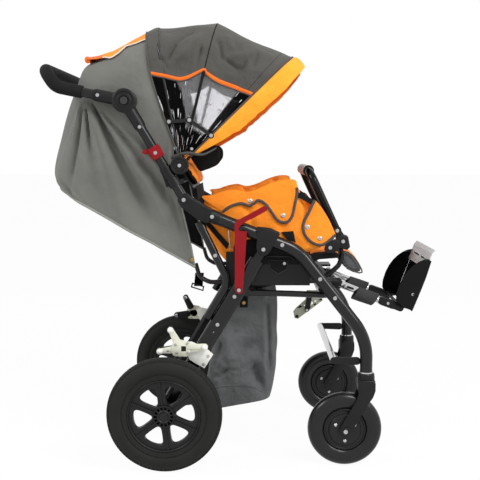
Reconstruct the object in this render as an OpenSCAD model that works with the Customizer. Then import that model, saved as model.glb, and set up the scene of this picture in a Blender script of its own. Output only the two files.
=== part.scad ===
// Special needs buggy: folding side frames, castors, tilting seat, leg rest, hood and back drape.
// Millimetres. +X forward, +Y the child's left, +Z up. Places [x, z] are from the rear axle and the floor.

/* [Side frames] */
// Half distance between the side frames
frame_y = 224; // [200:1:250]
// Front leg and rail tube radius
rail_r = 17; // [14:0.5:19]
// Upper end of the rail
rail_top = [116, 691]; // [50:1:760]
// Knee between the rail and the front leg
rail_knee = [359, 593]; // [250:1:700]
// Height of the front leg's lower bend
foot_bend_z = 353; // [330:1:400]
// Bend radius of the knee
knee_bend = 130; // [90:1:150]
// Bend radius of the lower bend
foot_bend = 160; // [100:1:180]
// Rear leg pivot, along the rail
leg_pivot_run = 172.6; // [160:0.1:190]
// Rear leg pivot, below the rail
leg_pivot_drop = 29.6; // [29:0.1:34]
// Rear leg depth, fore and aft
leg_depth = 44; // [36:1:48]
// Rear leg thickness, sideways
leg_thick = 24; // [20:1:28]
// Rear leg eye radius
leg_eye_r = 11; // [9:0.5:12]
// Length of the narrow neck above the rear leg
leg_neck = 34; // [30:1:42]
// Strut tube radius
strut_r = 11; // [8:0.5:13]
// Strut upper end
strut_top = [100, 655]; // [80:1:670]
// Strut bend, down the leg from its pivot
strut_bend_run = 126; // [110:1:140]
// Strut lower end, down the leg from its pivot
strut_end_run = 241; // [200:1:270]
// Strut bend radius
strut_bend = 45; // [30:1:60]
// Lower bar radius
bar_r = 8.5; // [6:0.5:10]
// Lower bar's front end, along the front leg from the knee
bar_front_run = 159; // [140:1:180]
// Lower bar's rear end
bar_rear = [222, 475]; // [200:1:500]
// Cross tube radius
cross_r = 11; // [8:0.5:12]
// Rear cross tube, along the lower bar from its rear end
cross_rear_run = 33; // [25:1:50]
// Front cross tube, along the lower bar from its rear end
cross_front_run = 208; // [190:1:222]
// Step bar place
step_at = [459, 290]; // [270:1:480]
// Step bar radius
step_r = 10; // [8:0.5:12]
// Step bar arm thickness
step_arm_t = 8; // [5:0.5:12]
// Bracket and ear plate thickness
ear_t = 4; // [3:0.5:5]
// Pivot pin radius
pin_r = 6; // [4:0.5:7]
// Bolt head radius
bolt_r = 6.5; // [5:0.5:8]
// Bolt head height
bolt_h = 3.5; // [2:0.5:4]
// Spare mounting hole radius in the rear leg
spare_r = 3.25; // [2.5:0.25:5]
// Spare mounting hole, down the leg from its pivot
spare_run = 264.5; // [255:0.5:290]

/* [Wheels] */
// Rear wheel radius
wheel_r = 156; // [140:1:165]
// Rear tyre width
tyre_w = 50; // [40:1:60]
// Rear tyre depth, from tread to rim
tyre_depth = 58; // [50:1:66]
// Rear rim ring depth
rim_depth = 9; // [6:0.5:12]
// Rear hub radius
hub_r = 30; // [24:1:36]
// Spoke width
spoke_w = 21; // [16:1:26]
// Spoke count
spokes = 6; // [5:1:8]
// Turn of the first spoke from upright, in degrees
spoke_turn = -7; // [-30:1:30]
// Hub cap radius
cap_r = 17; // [12:1:20]
// Axle cross tube radius
axle_tube_r = 11; // [8:0.5:12]
// Axle pin radius
axle_r = 6; // [5:0.5:7]
// Castor wheel radius
castor_r = 101.5; // [90:0.5:108]
// Castor tyre width
castor_w = 42; // [34:1:46]
// Castor rim radius
castor_rim_r = 60; // [50:1:70]
// Castor hub radius
castor_hub_r = 44; // [36:1:48]
// Castor trail behind the stem
castor_trail = 57; // [45:1:65]
// Castor stem, ahead of the rear axle
castor_x = 547; // [520:1:580]
// Fork crown height
crown_h = 42; // [34:1:50]
// Fork crown clearance over the tyre
crown_gap = 16; // [10:1:26]
// Fork arm thickness
fork_t = 5; // [4:0.5:7]
// Stem pin radius
stem_r = 7; // [5:0.5:9]
// Stem pin length
stem_len = 45; // [30:1:60]

/* [Lock levers and brakes] */
// Lever plate thickness
lever_t = 4; // [3:0.5:5]
// Lock lever pivot, down the leg from its pivot
lever_run = 126.5; // [115:0.5:135]
// Lock pin, along the rail from its upper end
lock_run = 96; // [85:0.5:105]
// Lock lever width at its pivot
lever_foot_w = 22; // [18:1:26]
// Lock lever width at its head
lever_head_w = 34; // [30:1:40]
// Lock lever head above the lock pin
lever_head_h = 26; // [22:1:32]
// Lock pin radius
lock_pin_r = 5; // [4:0.5:6]
// Lock lever handle reach, forward and up from its head
lever_grip = [62, 27]; // [15:1:75]
// Lock lever handle width
lever_grip_w = 15; // [12:1:18]
// Brake plate, down the leg from the leg's pivot
brake_run = 348; // [335:1:360]
// Brake plate height
brake_h = 46; // [40:1:52]
// Brake lever pivot behind the rear leg
brake_pivot_x = 27; // [22:1:34]
// Brake lever pivot above the axle
brake_pivot_z = 171; // [168:1:178]
// Brake lever hub radius
brake_hub_r = 17; // [14:1:20]
// Brake lever upper arm, back and up
brake_up_arm = [27, 53]; // [15:1:60]
// Brake lever front arm, forward and up
brake_front_arm = [65, 6]; // [0:1:72]
// Brake lever rear arm, back and down
brake_rear_arm = [57, 6]; // [0:1:64]
// Brake lever arm width
brake_arm_w = 14; // [10:1:18]
// Brake lever ball radius
brake_ball_r = 8; // [6:0.5:10]

/* [Back and handle] */
// Back tube radius
back_r = 12.5; // [10:0.5:14]
// Back pivot, along the rail from its upper end, backward
back_pivot_run = 73.4; // [65:0.1:80]
// Back pivot, above the rail
back_pivot_rise = 13.5; // [8:0.5:16]
// Back hinge ear radius
back_ear_r = 20; // [17:0.5:23]
// Back hinge block length
back_block = 34; // [28:1:38]
// Handle hinge place
handle_at = [-103, 992]; // [-120:1:1010]
// Handle hinge disc radius
disc_r = 32; // [28:1:36]
// Handle hinge disc thickness, each half
disc_t = 14; // [12:0.5:16]
// Handle hinge button radius
button_r = 10; // [8:0.5:12]
// Handle hinge button stroke
button_travel = 4; // [2:0.5:5]
// Start of the handle's grip
grip_start = [-215, 1015]; // [-230:1:1030]
// Handle's rear elbow
handle_elbow = [-285, 1029]; // [-300:1:1040]
// Handle cross bar place
handle_bar = [-317, 1075]; // [-330:1:1090]
// Grip radius
grip_r = 17; // [14:0.5:19]
// Handle elbow bend radius
elbow_bend = 40; // [30:1:45]
// Handle corner bend radius
corner_bend = 36; // [24:1:38]
// Fold catch place, up the back tube from its pivot
catch_run = 144; // [130:1:150]
// Fold catch collar length
catch_len = 30; // [24:1:36]
// Fold catch collar wall
catch_wall = 4; // [3:0.5:5]
// Hood bracket, up the back tube from its pivot
hood_run = 83.5; // [78:0.5:90]
// Hood pivot ahead of the back tube
hood_ahead = 37.5; // [34:0.5:42]
// Back cross tube, up the back tube from its pivot
back_cross_run = 45; // [38:1:52]
// Back cross tube radius
back_cross_r = 6.5; // [5:0.5:8]

/* [Hood and drape] */
// Hood bow radius
bow_r = 4; // [3:0.25:5]
// Hood bow setback from the back tubes
bow_inset = 26; // [24:0.5:30]
// Sideways step from bow to bow
bow_pitch = 8.8; // [8.4:0.1:11]
// Top of the rear bow
bow_rear = [-29, 1190]; // [-50:1:1220]
// Top of the middle bow
bow_mid = [139, 1203]; // [110:1:1230]
// Top of the front bow
bow_front = [345, 1112]; // [320:1:1130]
// Bow corner radius
bow_bend = 80; // [60:1:100]
// Hood cloth thickness
cloth_t = 2; // [1.5:0.1:3]
// Window lower edge, from the hood pivot
window_low = 40; // [32:1:60]
// Window upper edge, below the bow's top
window_drop = 132; // [110:1:150]
// Stay link, from the hood pivot along the rear bow
stay_run = 123; // [110:1:135]
// Stay links' middle joint
stay_knee = [67, 944]; // [55:1:955]
// Stay links' front joint, from the hood pivot along the front bow
stay_front_run = 116; // [105:1:125]
// Stay link width
stay_w = 11; // [8:0.5:13]
// Stay link thickness
stay_t = 3; // [2:0.5:4]
// Drape upper back edge
drape_top = [-227, 1086]; // [-245:1:1100]
// Drape rear at its widest
drape_rear = [-316, 806]; // [-330:1:830]
// Drape rear hem
drape_hem = [-298, 758]; // [-320:1:780]
// Drape front hem corner
drape_corner = [79, 545]; // [50:1:570]
// Drape corner radius at the back
drape_bend = 90; // [60:1:120]
// Drape fold depth
fold_depth = 3; // [2:0.5:4]
// Drape folds on each side
folds = 3; // [2:1:5]

/* [Seat] */
// Seat floor height
floor_z = 500; // [497:0.5:506]
// Seat floor thickness
floor_t = 6; // [4:0.5:8]
// Seat floor rear edge
floor_rear = 164; // [150:1:175]
// Seat floor front edge
floor_front = 482; // [478:1:495]
// Seat side panel front edge
panel_front = 393; // [370:1:410]
// Seat side panel top
panel_top = 587; // [570:1:588]
// Seat side panel thickness
panel_t = 5; // [3:0.5:7]
// Seat cushion thickness
cushion_t = 70; // [55:1:78]
// Seat cushion half width
cushion_y = 156; // [140:1:158]
// Wing thickness
wing_t = 30; // [24:1:34]
// Wing top front corner
wing_front = [356, 789]; // [330:1:800]
// Wing rear top corner
wing_rear = [98, 741]; // [95:1:750]
// Wing foot
wing_foot_z = 545; // [535:1:560]
// Bumper bar pivot
bumper_at = [466, 645]; // [440:1:660]
// Bumper bar top
bumper_top = [391, 806]; // [370:1:820]
// Bumper bar radius
bumper_r = 11; // [9:0.5:12]
// Bumper bar corner radius
bumper_bend = 45; // [30:1:60]
// Front apron top
apron_top = [497, 575]; // [490:1:585]
// Front apron tip
apron_tip = [549, 529]; // [515:1:560]
// Front apron thickness
apron_t = 24; // [16:1:28]

/* [Leg rest] */
// Leg rest pivot
rest_at = [474, 487]; // [470:1:490]
// Leg rest tube half spacing
rest_y = 100; // [90:1:108]
// Leg rest pivot rod radius
rest_rod_r = 8; // [6:0.5:9]
// Leg rest sleeve radius
sleeve_r = 12.5; // [11:0.5:13]
// Leg rest inner tube radius
inner_r = 9; // [7:0.5:10]
// Leg rest slope, degrees below level
rest_slope = 20; // [15:1:26]
// Sleeve length from the pivot
sleeve_len = 132; // [120:1:140]
// Inner tube length from the pivot
inner_len = 196; // [186:1:204]
// Leg rest travel
rest_travel = 60; // [40:1:65]
// Footplate lower edge
foot_low = [680, 412]; // [400:1:695]
// Footplate upper edge
foot_high = [742, 580]; // [560:1:752]
// Footplate thickness
foot_t = 7; // [5:0.5:9]
// Footplate half width
foot_y = 128; // [120:1:135]
// Foot guard length along the footplate
guard_len = 150; // [130:1:165]
// Foot guard reach behind the footplate
guard_reach = 50; // [36:1:60]
// Foot guard thickness
guard_t = 4; // [3:0.5:5]

/* [Basket] */
// Basket half width
basket_y = 168; // [150:1:175]
// Basket upper rear edge
basket_rear = [126, 446]; // [110:1:455]
// Basket upper front edge
basket_front = [292, 452]; // [280:1:456]
// Basket floor, rear corner
basket_low_rear = [118, 138]; // [105:1:165]
// Basket floor, front corner
basket_low_front = [298, 166]; // [155:1:310]
// Basket wall
basket_wall = 3; // [2:0.5:4]
// Basket tab length
tab_len = 24; // [18:1:30]

/* [Hidden] */
$fn = 48;
run_gap = 0.25;
seat_gap = 0.3;
overrun = 2;
clear = 1;
elbow_lip = 0.15;
wheel_clear = 5;

function unit(v) = v / norm(v);
function turn(v, a) = [v[0] * cos(a) - v[1] * sin(a), v[0] * sin(a) + v[1] * cos(a)];
function at(p, y) = [p[0], y, p[1]];
function ray(a) = [cos(a), sin(a)];
function arc(c, r, a0, a1, n) = [for (k = [0:n]) c + r * ray(a0 + (a1 - a0) * k / n)];

rail_dir = unit(rail_knee - rail_top);
rail_down = [rail_dir[1], -rail_dir[0]];
function on_rail(run, drop) = rail_top + run * rail_dir + drop * rail_down;
foot_corner = [castor_x, foot_bend_z];
leg_dir2 = unit(foot_corner - rail_knee);
function on_front_leg(run) = rail_knee + run * leg_dir2;
leg_pivot = on_rail(leg_pivot_run, leg_pivot_drop);
axle = [0, wheel_r];
rear_dir = unit(axle - leg_pivot);
rear_back = [rear_dir[1], -rear_dir[0]];
function on_leg(run, back) = leg_pivot + run * rear_dir + back * rear_back;
rear_len = norm(axle - leg_pivot);
back_pivot = on_rail(-back_pivot_run, -back_pivot_rise);
back_dir = unit(handle_at - back_pivot);
back_ahead = [back_dir[1], -back_dir[0]];
function on_back(run, ahead) = back_pivot + run * back_dir + ahead * back_ahead;
back_len = norm(handle_at - back_pivot);
hood_at = on_back(hood_run, hood_ahead);
lock_at = on_rail(lock_run, 0);
lever_at = on_leg(lever_run, 0);
bar_front = on_front_leg(bar_front_run);
bar_dir = unit(bar_front - bar_rear);
cross_rear = bar_rear + cross_rear_run * bar_dir;
cross_front = bar_rear + cross_front_run * bar_dir;
ear_out = frame_y + rail_r + seat_gap;
ear_in = frame_y - rail_r - seat_gap;
bar_y = frame_y - rail_r - seat_gap - bar_r;
lever_y = ear_out + ear_t + clear;
rim_r = wheel_r - tyre_depth;
wheel_y = lever_y + lever_t + wheel_clear + tyre_w / 2;
seat_y = ear_in - ear_t - clear;
wing_y = seat_y - panel_t - seat_gap - wing_t / 2;
bumper_y = wing_y;
fork_y = castor_w / 2 + overrun + fork_t / 2;
crown_low = castor_r * 2 + crown_gap;
foot_end_z = crown_low + crown_h + seat_gap;
castor_axle = [castor_x - castor_trail, castor_r];
rest_dir = [cos(rest_slope), -sin(rest_slope)];
function on_rest(run) = rest_at + run * rest_dir;
bow_y = [for (k = [0:2]) frame_y - bow_inset - k * bow_pitch];
bow_tops = [bow_rear, bow_mid, bow_front];
bow_dirs = [for (t = bow_tops) unit(t - hood_at)];
bow_lens = [for (t = bow_tops) norm(t - hood_at)];
cloth_off = bow_r + clear * 2;
origin_x = (foot_high[0] + foot_t + handle_bar[0] - grip_r) / 2;

module rod(a, b, r) {
    d = b - a;
    translate(a)
        rotate([0, acos(d[2] / norm(d)), atan2(d[1], d[0])])
            cylinder(h = norm(d), r = r);
}

module rod_y(p, y0, y1, r) {
    translate([p[0], max(y0, y1), p[1]])
        rotate([90, 0, 0])
            cylinder(h = abs(y1 - y0), r = r);
}

module plate(points, y0, y1) {
    translate([0, max(y0, y1), 0])
        rotate([90, 0, 0])
            linear_extrude(abs(y1 - y0))
                polygon(points);
}

module link(a, b, w0, w1, y0, y1) {
    d = unit(b - a);
    n = [-d[1], d[0]];
    plate([a + n * w0 / 2, b + n * w1 / 2, b - n * w1 / 2, a - n * w0 / 2], y0, y1);
    rod_y(a, y0, y1, w0 / 2);
    rod_y(b, y0, y1, w1 / 2);
}

module elbow(p0, p1, p2, bend, r) {
    u = unit(p1 - p0);
    w = unit(p2 - p1);
    phi = acos(u * w);
    n = unit(w - (u * w) * u);
    c = p1 - u * bend * tan(phi / 2) + n * bend;
    z = cross(-n, u);
    multmatrix([[-n[0], u[0], z[0], c[0]], [-n[1], u[1], z[1], c[1]],
        [-n[2], u[2], z[2], c[2]], [0, 0, 0, 1]])
        rotate_extrude(angle = phi)
            translate([bend, 0])
                circle(r);
}

function tangent(p, i, bend) = bend * tan(acos(unit(p[i] - p[i - 1]) * unit(p[i + 1] - p[i])) / 2);

module bent(p, bends, r) {
    last = len(p) - 1;
    for (i = [0:last - 1]) {
        u = unit(p[i + 1] - p[i]);
        a = i == 0 ? p[i] : p[i] + u * (tangent(p, i, bends[i - 1]) - clear);
        b = i == last - 1 ? p[i + 1] : p[i + 1] - u * (tangent(p, i + 1, bends[i]) - clear);
        rod(a, b, r);
    }
    for (i = [1:last - 1])
        elbow(p[i - 1], p[i], p[i + 1], bends[i - 1], r + elbow_lip);
}

module on_side(s) {
    if (s > 0)
        children();
    else
        mirror([0, 1, 0])
            children();
}

module both() {
    on_side(1)
        children();
    on_side(-1)
        children();
}

// Closed sheet between two grids of points with the same rows and columns
module sheet(outer, inner) {
    m = len(outer);
    n = len(outer[0]);
    points = concat([for (row = outer) for (p = row) p], [for (row = inner) for (p = row) p]);
    top = [for (i = [0:m - 2]) for (j = [0:n - 2]) each [[i * n + j, (i + 1) * n + j, i * n + j + 1],
        [i * n + j + 1, (i + 1) * n + j, (i + 1) * n + j + 1]]];
    k = m * n;
    low = [for (f = top) [k + f[0], k + f[2], k + f[1]]];
    ring = concat([for (j = [0:n - 2]) j], [for (i = [0:m - 2]) i * n + n - 1],
        [for (j = [n - 1:-1:1]) (m - 1) * n + j], [for (i = [m - 1:-1:1]) i * n]);
    c = len(ring);
    edge = [for (q = [0:c - 1]) each [[ring[q], ring[(q + 1) % c], k + ring[q]],
        [ring[(q + 1) % c], k + ring[(q + 1) % c], k + ring[q]]]];
    polyhedron(points, concat(top, low, edge));
}

// Stuffed pad: rings drawn in from an outline to a crown on both faces, along Y
pad_ring_shares = [1, 0.985, 0.9, 0.72, 0.4];
pad_rise_shares = [0.5, 0.72, 0.9, 0.97, 1];
module pad(outline, y, half) {
    n = len(outline);
    mid = [for (k = [0:1]) [for (p = outline) p[k]] * [for (p = outline) 1] / n];
    rings = len(pad_ring_shares);
    function ring(q, side) = [for (p = outline)
        at(mid + (p - mid) * pad_ring_shares[q], y + side * half * pad_rise_shares[q])];
    rows = concat([for (q = [rings - 1:-1:0]) ring(q, -1)], [for (q = [0:rings - 1]) ring(q, 1)]);
    points = concat([for (r = rows) for (p = r) p], [at(mid, y - half), at(mid, y + half)]);
    sides = [for (q = [0:len(rows) - 2]) for (j = [0:n - 1]) each [
        [q * n + j, (q + 1) * n + j, q * n + (j + 1) % n],
        [q * n + (j + 1) % n, (q + 1) * n + j, (q + 1) * n + (j + 1) % n]]];
    low = len(rows) * n;
    caps = [for (j = [0:n - 1]) each [[low, j, (j + 1) % n],
        [low + 1, (len(rows) - 1) * n + (j + 1) % n, (len(rows) - 1) * n + j]]];
    polyhedron(points, concat(sides, caps));
}

// A rectangle's outline with round corners, stepped for pads
function round_box(x0, y0, x1, y1, r, n) = concat(arc([x0 + r, y0 + r], r, 180, 270, n),
    arc([x1 - r, y0 + r], r, 270, 360, n), arc([x1 - r, y1 - r], r, 0, 90, n),
    arc([x0 + r, y1 - r], r, 90, 180, n));

// A hoop's outline: up one leg, round a corner, across and down the other leg
function hoop_half(w, l, r, low, ns, na, nt) = concat(
    [for (k = [0:ns]) [-w, low + (l - r - low) * k / ns]],
    [for (k = [1:na]) [-w + r - r * cos(90 * k / na), l - r + r * sin(90 * k / na)]],
    [for (k = [1:nt]) [(-w + r) * (1 - k / nt), l]]);
function hoop(w, l, r, low, ns, na, nt) = let (h = hoop_half(w, l, r, low, ns, na, nt))
    concat(h, [for (k = [len(h) - 2:-1:0]) [-h[k][0], h[k][1]]]);
function lay(foot, dir, pts) = [for (p = pts) [foot[0] + dir[0] * p[1], p[0], foot[1] + dir[1] * p[1]]];

module front_leg() {
    difference() {
        bent([at(rail_top, frame_y), at(rail_knee, frame_y), at(foot_corner, frame_y),
            [castor_x, frame_y, foot_end_z]], [knee_bend, foot_bend], rail_r);
        translate([castor_x, frame_y, foot_end_z - overrun])
            cylinder(h = stem_len + overrun + clear, r = stem_r + run_gap);
    }
    rod_y(lock_at, frame_y + rail_r - overrun, lever_y + lever_t, lock_pin_r);
}

module leg_bracket() {
    reach = leg_eye_r + bolt_h;
    shape = [on_rail(leg_pivot_run - reach - bolt_r, -bolt_r), on_rail(leg_pivot_run + reach * 2, -bolt_r),
        on_rail(leg_pivot_run + reach * 2, bolt_r * 2), leg_pivot + [reach, -reach],
        leg_pivot + [-reach, -reach]];
    plate(shape, ear_out, ear_out + ear_t);
    plate(shape, ear_in, ear_in - ear_t);
    rod_y(leg_pivot, ear_in - ear_t, ear_out + ear_t, pin_r);
}

module back_hinge() {
    half = rail_r;
    a = on_rail(-seat_gap, -half);
    b = on_rail(-seat_gap, half);
    c = on_rail(-back_block, half);
    d = on_rail(-back_block, -half);
    plate([a, d, c, b], frame_y - rail_r, frame_y + rail_r);
    inner = frame_y - back_r - seat_gap;
    outer = frame_y + back_r + seat_gap;
    ear = [d, on_rail(-back_pivot_run, -back_pivot_rise - back_ear_r),
        on_rail(-back_pivot_run, -back_pivot_rise + back_ear_r), c];
    for (s = [[frame_y - rail_r, inner], [outer, frame_y + rail_r]]) {
        plate(ear, s[0], s[1]);
        rod_y(back_pivot, s[0], s[1], back_ear_r);
    }
    rod_y(back_pivot, frame_y - rail_r, frame_y + rail_r + bolt_h, pin_r);
}

module lower_bar() {
    rod(at(bar_rear, bar_y), at(bar_front, bar_y), bar_r);
    rod_y(bar_rear, bar_y - bar_r, bar_y + bar_r, bar_r + overrun);
}

module cross_tube(p) {
    rod_y(p, -bar_y + bar_r + seat_gap, bar_y - bar_r - seat_gap, cross_r);
}

module step_bar() {
    reach = castor_x - rail_r - seat_gap;
    side = frame_y - step_r;
    rod_y(step_at, -side, side, step_r);
    both()
        link([reach - step_r, step_at[1]], step_at, step_r * 2, step_r * 2, side, side + step_arm_t);
}

tilt_shares = [[-0.6, 0], [0.25, 0], [0.4, 0.55], [0.15, 1], [-1.15, 1.9], [-1.3, 1.55], [-0.55, 0.6]];
tilt_size = 48;
module tilt_bracket() {
    top = cross_front - [0, cross_r + seat_gap];
    plate([for (s = tilt_shares) top + [s[0], -s[1]] * tilt_size], -ear_t, ear_t);
}

module cross_tubes() {
    low = cross_front[1] + cross_r / 2;
    cross_tube(cross_rear);
    cross_tube(cross_front);
    both()
        translate([cross_front[0] - cross_r, cushion_y - cross_r, low])
            cube([cross_r * 2, cross_r * 2, floor_z - seat_gap - low]);
}

rail_bolt_shares = [0.05, 0.82];
leg_bolt_shares = [0.31, 0.525];
module frame_bolts() {
    both() {
        for (s = rail_bolt_shares)
            rod_y(rail_top + (rail_knee - rail_top) * s, frame_y + rail_r, frame_y + rail_r + bolt_h, bolt_r);
        for (s = leg_bolt_shares)
            rod_y(rail_knee + (foot_corner - rail_knee) * s, frame_y + rail_r, frame_y + rail_r + bolt_h,
                bolt_r);
    }
}

bulge_share = 0.06;
module basket() {
    bulge = (basket_front[0] - basket_rear[0]) * bulge_share;
    mid = (basket_front + basket_low_front) / 2 + [bulge, 0];
    wall = basket_wall;
    difference() {
        plate([basket_rear, basket_low_rear, basket_low_front, mid, basket_front], -basket_y, basket_y);
        plate([basket_rear + [wall, overrun], basket_low_rear + [wall, wall],
            basket_low_front + [-wall, wall], mid - [wall, 0], basket_front + [-wall, overrun]],
            -basket_y + wall, basket_y - wall);
    }
    both()
        for (x = [basket_front[0] - tab_len * 2.2, basket_front[0] - tab_len / 2]) {
            translate([x - tab_len / 2, basket_y - wall, basket_front[1] - tab_len])
                cube([tab_len / 2, wall, bar_rear[1] - basket_front[1] + tab_len]);
            translate([x - tab_len / 2, basket_y - wall, bar_rear[1] - wall])
                cube([tab_len / 2, bar_y - bar_r - seat_gap - basket_y + wall, wall]);
        }
}

module rear_leg() {
    half = (leg_depth - leg_thick) / 2;
    inner = frame_y - leg_thick / 2;
    outer = frame_y + leg_thick / 2;
    difference() {
        union() {
            translate(at(on_leg(leg_neck, 0), frame_y))
                rotate([0, atan2(rear_dir[0], rear_dir[1]), 0])
                    linear_extrude(rear_len - leg_neck) {
                        square([half * 2, leg_thick], center = true);
                        for (s = [-1, 1])
                            translate([s * half, 0])
                                circle(leg_thick / 2);
                    }
            rod_y(axle, inner, outer, leg_depth / 2);
            link(leg_pivot, on_leg(leg_neck + overrun, 0), leg_eye_r * 2, leg_eye_r * 2, inner, outer);
            rod_y(leg_pivot, ear_in + seat_gap, ear_out - seat_gap, leg_eye_r);
        }
        rod_y(leg_pivot, ear_in - overrun, ear_out + overrun, pin_r + run_gap);
        rod_y(axle, inner - overrun, outer + overrun, axle_tube_r + run_gap);
        rod_y(on_leg(spare_run, 0), inner - overrun, outer + overrun, spare_r);
    }
    rod_y(lever_at, outer - overrun, lever_y - run_gap, lever_foot_w / 2 - overrun);
    rod_y(lever_at, outer - overrun, lever_y + lever_t + bolt_h, pin_r);
}

module strut() {
    off = leg_depth / 2 + strut_r + seat_gap;
    bent([at(strut_top, frame_y), at(on_leg(strut_bend_run, off), frame_y),
        at(on_leg(strut_end_run, off), frame_y)], [strut_bend], strut_r);
}

module rear_axle() {
    end = frame_y + leg_thick / 2;
    rod_y(axle, -end, end, axle_tube_r);
    pin = wheel_y + tyre_w / 2 - overrun * 2 - clear;
    rod_y(axle, -pin, pin, axle_r);
}

brake_front = on_leg(brake_run, leg_depth / 2 - overrun);
brake_pivot = [brake_front[0] - brake_pivot_x, wheel_r + brake_pivot_z];
module brake_plate() {
    y0 = frame_y + leg_thick / 2 + seat_gap;
    y1 = y0 + ear_t;
    a = on_leg(brake_run - brake_h / 2, -leg_depth / 2 + bolt_r);
    b = on_leg(brake_run + brake_h / 2, -leg_depth / 2 + bolt_r);
    c = on_leg(brake_run + brake_h / 2, leg_depth / 2);
    plate([a, b, c, brake_pivot + [-brake_hub_r / 2, -brake_hub_r],
        brake_pivot + [-brake_hub_r / 2, brake_hub_r / 2]], y0, y1);
    rod_y(brake_pivot, y0, y1 + run_gap + lever_t + bolt_h, pin_r);
}

module leg_bolts() {
    outer = frame_y + leg_thick / 2;
    both() {
        for (s = [lever_run + leg_thick, spare_run - leg_thick])
            rod_y(on_leg(s, 0), outer, outer + bolt_h, bolt_r);
        rod_y((strut_top + on_leg(strut_bend_run, leg_depth / 2 + strut_r)) / 2, frame_y + strut_r,
            frame_y + strut_r + bolt_h, bolt_r);
    }
}

tyre_side_share = 0.72;
module rear_tyre() {
    mid = wheel_r - tyre_w / 2;
    wall = tyre_w * tyre_side_share;
    translate(at(axle, wheel_y))
        rotate([90, 0, 0])
            rotate_extrude()
                difference() {
                    union() {
                        translate([mid, 0])
                            circle(tyre_w / 2);
                        translate([rim_r, -wall / 2])
                            square([mid - rim_r, wall]);
                    }
                    translate([0, -tyre_w])
                        square([rim_r, tyre_w * 2]);
                }
}

module rear_rim() {
    half = tyre_w / 2 - overrun;
    difference() {
        union() {
            translate(at(axle, wheel_y))
                rotate([90, 0, 0])
                    rotate_extrude()
                        translate([rim_r - rim_depth - overrun, -half])
                            square([rim_depth + overrun, half * 2]);
            rod_y(axle, wheel_y - half, wheel_y + half, hub_r);
            rod_y(axle, wheel_y + half - overrun, wheel_y + half + overrun, cap_r);
            for (k = [0:spokes - 1])
                translate(at(axle, wheel_y))
                    rotate([0, 360 / spokes * k + spoke_turn, 0])
                        translate([-spoke_w / 2, -half / 2, hub_r - overrun])
                            cube([spoke_w, half, rim_r - rim_depth - hub_r + overrun]);
        }
        rod_y(axle, wheel_y - tyre_w, wheel_y + half - overrun, axle_r + run_gap);
    }
}

module castor_fork() {
    difference() {
        union() {
            translate([castor_x, frame_y, crown_low])
                cylinder(h = crown_h, r = rail_r + overrun);
            translate([castor_x - rail_r, frame_y - fork_y - fork_t / 2, crown_low])
                cube([rail_r * 2, fork_y * 2 + fork_t, crown_h / 2]);
            translate([castor_x, frame_y, crown_low])
                cylinder(h = crown_h + stem_len, r = stem_r);
        }
    }
    for (s = [-1, 1]) {
        y0 = frame_y + s * fork_y - fork_t / 2;
        link([castor_x, crown_low + rail_r / 2], castor_axle, rail_r * 2, stem_r * 4, y0, y0 + fork_t);
    }
    rod_y(castor_axle, frame_y - fork_y, frame_y + fork_y + fork_t / 2 + bolt_h, axle_r);
}

module castor_tyre() {
    translate(at(castor_axle, frame_y))
        rotate([90, 0, 0])
            rotate_extrude()
                difference() {
                    translate([castor_r - castor_w / 2, 0])
                        circle(castor_w / 2);
                    translate([0, -castor_w])
                        square([castor_rim_r, castor_w * 2]);
                }
}

module castor_rim() {
    half = castor_w / 2;
    difference() {
        union() {
            rod_y(castor_axle, frame_y - half / 2, frame_y + half / 2, castor_rim_r);
            rod_y(castor_axle, frame_y - half, frame_y + half, castor_hub_r);
        }
        rod_y(castor_axle, frame_y - castor_w, frame_y + castor_w, axle_r + run_gap);
    }
}

lever_swing = 16;
fold_swing = 36;
notch_steps = 6;
function about(c, p, a) = c + turn(p - c, a);
module lock_lever() {
    d = unit(lock_at - lever_at);
    head = lock_at + d * (lever_head_h - lever_head_w / 2);
    grip = lock_at + d * lever_head_h;
    hole = lock_pin_r + clear;
    y0 = lever_y - overrun;
    y1 = lever_y + lever_t + overrun;
    out = [for (k = [0:notch_steps]) about(leg_pivot, lock_at, -fold_swing * k / notch_steps)];
    back = [for (k = [0:notch_steps]) about(lever_at, lock_at, -lever_swing * k / notch_steps)];
    difference() {
        union() {
            link(lever_at, head, lever_foot_w, lever_head_w, lever_y, lever_y + lever_t);
            link(grip - d * lever_grip_w / 2, grip + lever_grip, lever_grip_w, lever_grip_w,
                lever_y, lever_y + lever_t);
        }
        rod_y(lever_at, y0, y1, pin_r + run_gap);
        for (k = [0:notch_steps - 1]) {
            link(out[k], out[k + 1], hole * 2, hole * 2, y0, y1);
            link(back[k], back[k + 1], hole * 2, hole * 2, y0, y1);
        }
        plate(concat(back, [for (k = [notch_steps:-1:1]) out[k]]), y0, y1);
    }
}

module brake_lever() {
    y0 = frame_y + leg_thick / 2 + seat_gap + ear_t + run_gap;
    y1 = y0 + lever_t;
    up = brake_pivot + [-brake_up_arm[0], brake_up_arm[1]];
    front = brake_pivot + brake_front_arm;
    rear = brake_pivot - brake_rear_arm;
    difference() {
        union() {
            rod_y(brake_pivot, y0, y1, brake_hub_r);
            link(brake_pivot, up, brake_arm_w, brake_arm_w, y0, y1);
            link(brake_pivot, front, brake_arm_w, brake_arm_w, y0, y1);
            link(brake_pivot, rear, brake_arm_w, brake_arm_w, y0, y1);
            for (p = [up, front, rear])
                rod_y(p, y0, y1 + brake_ball_r, brake_ball_r);
        }
        rod_y(brake_pivot, y0 - overrun, y1 + overrun, pin_r + run_gap);
    }
}

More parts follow.
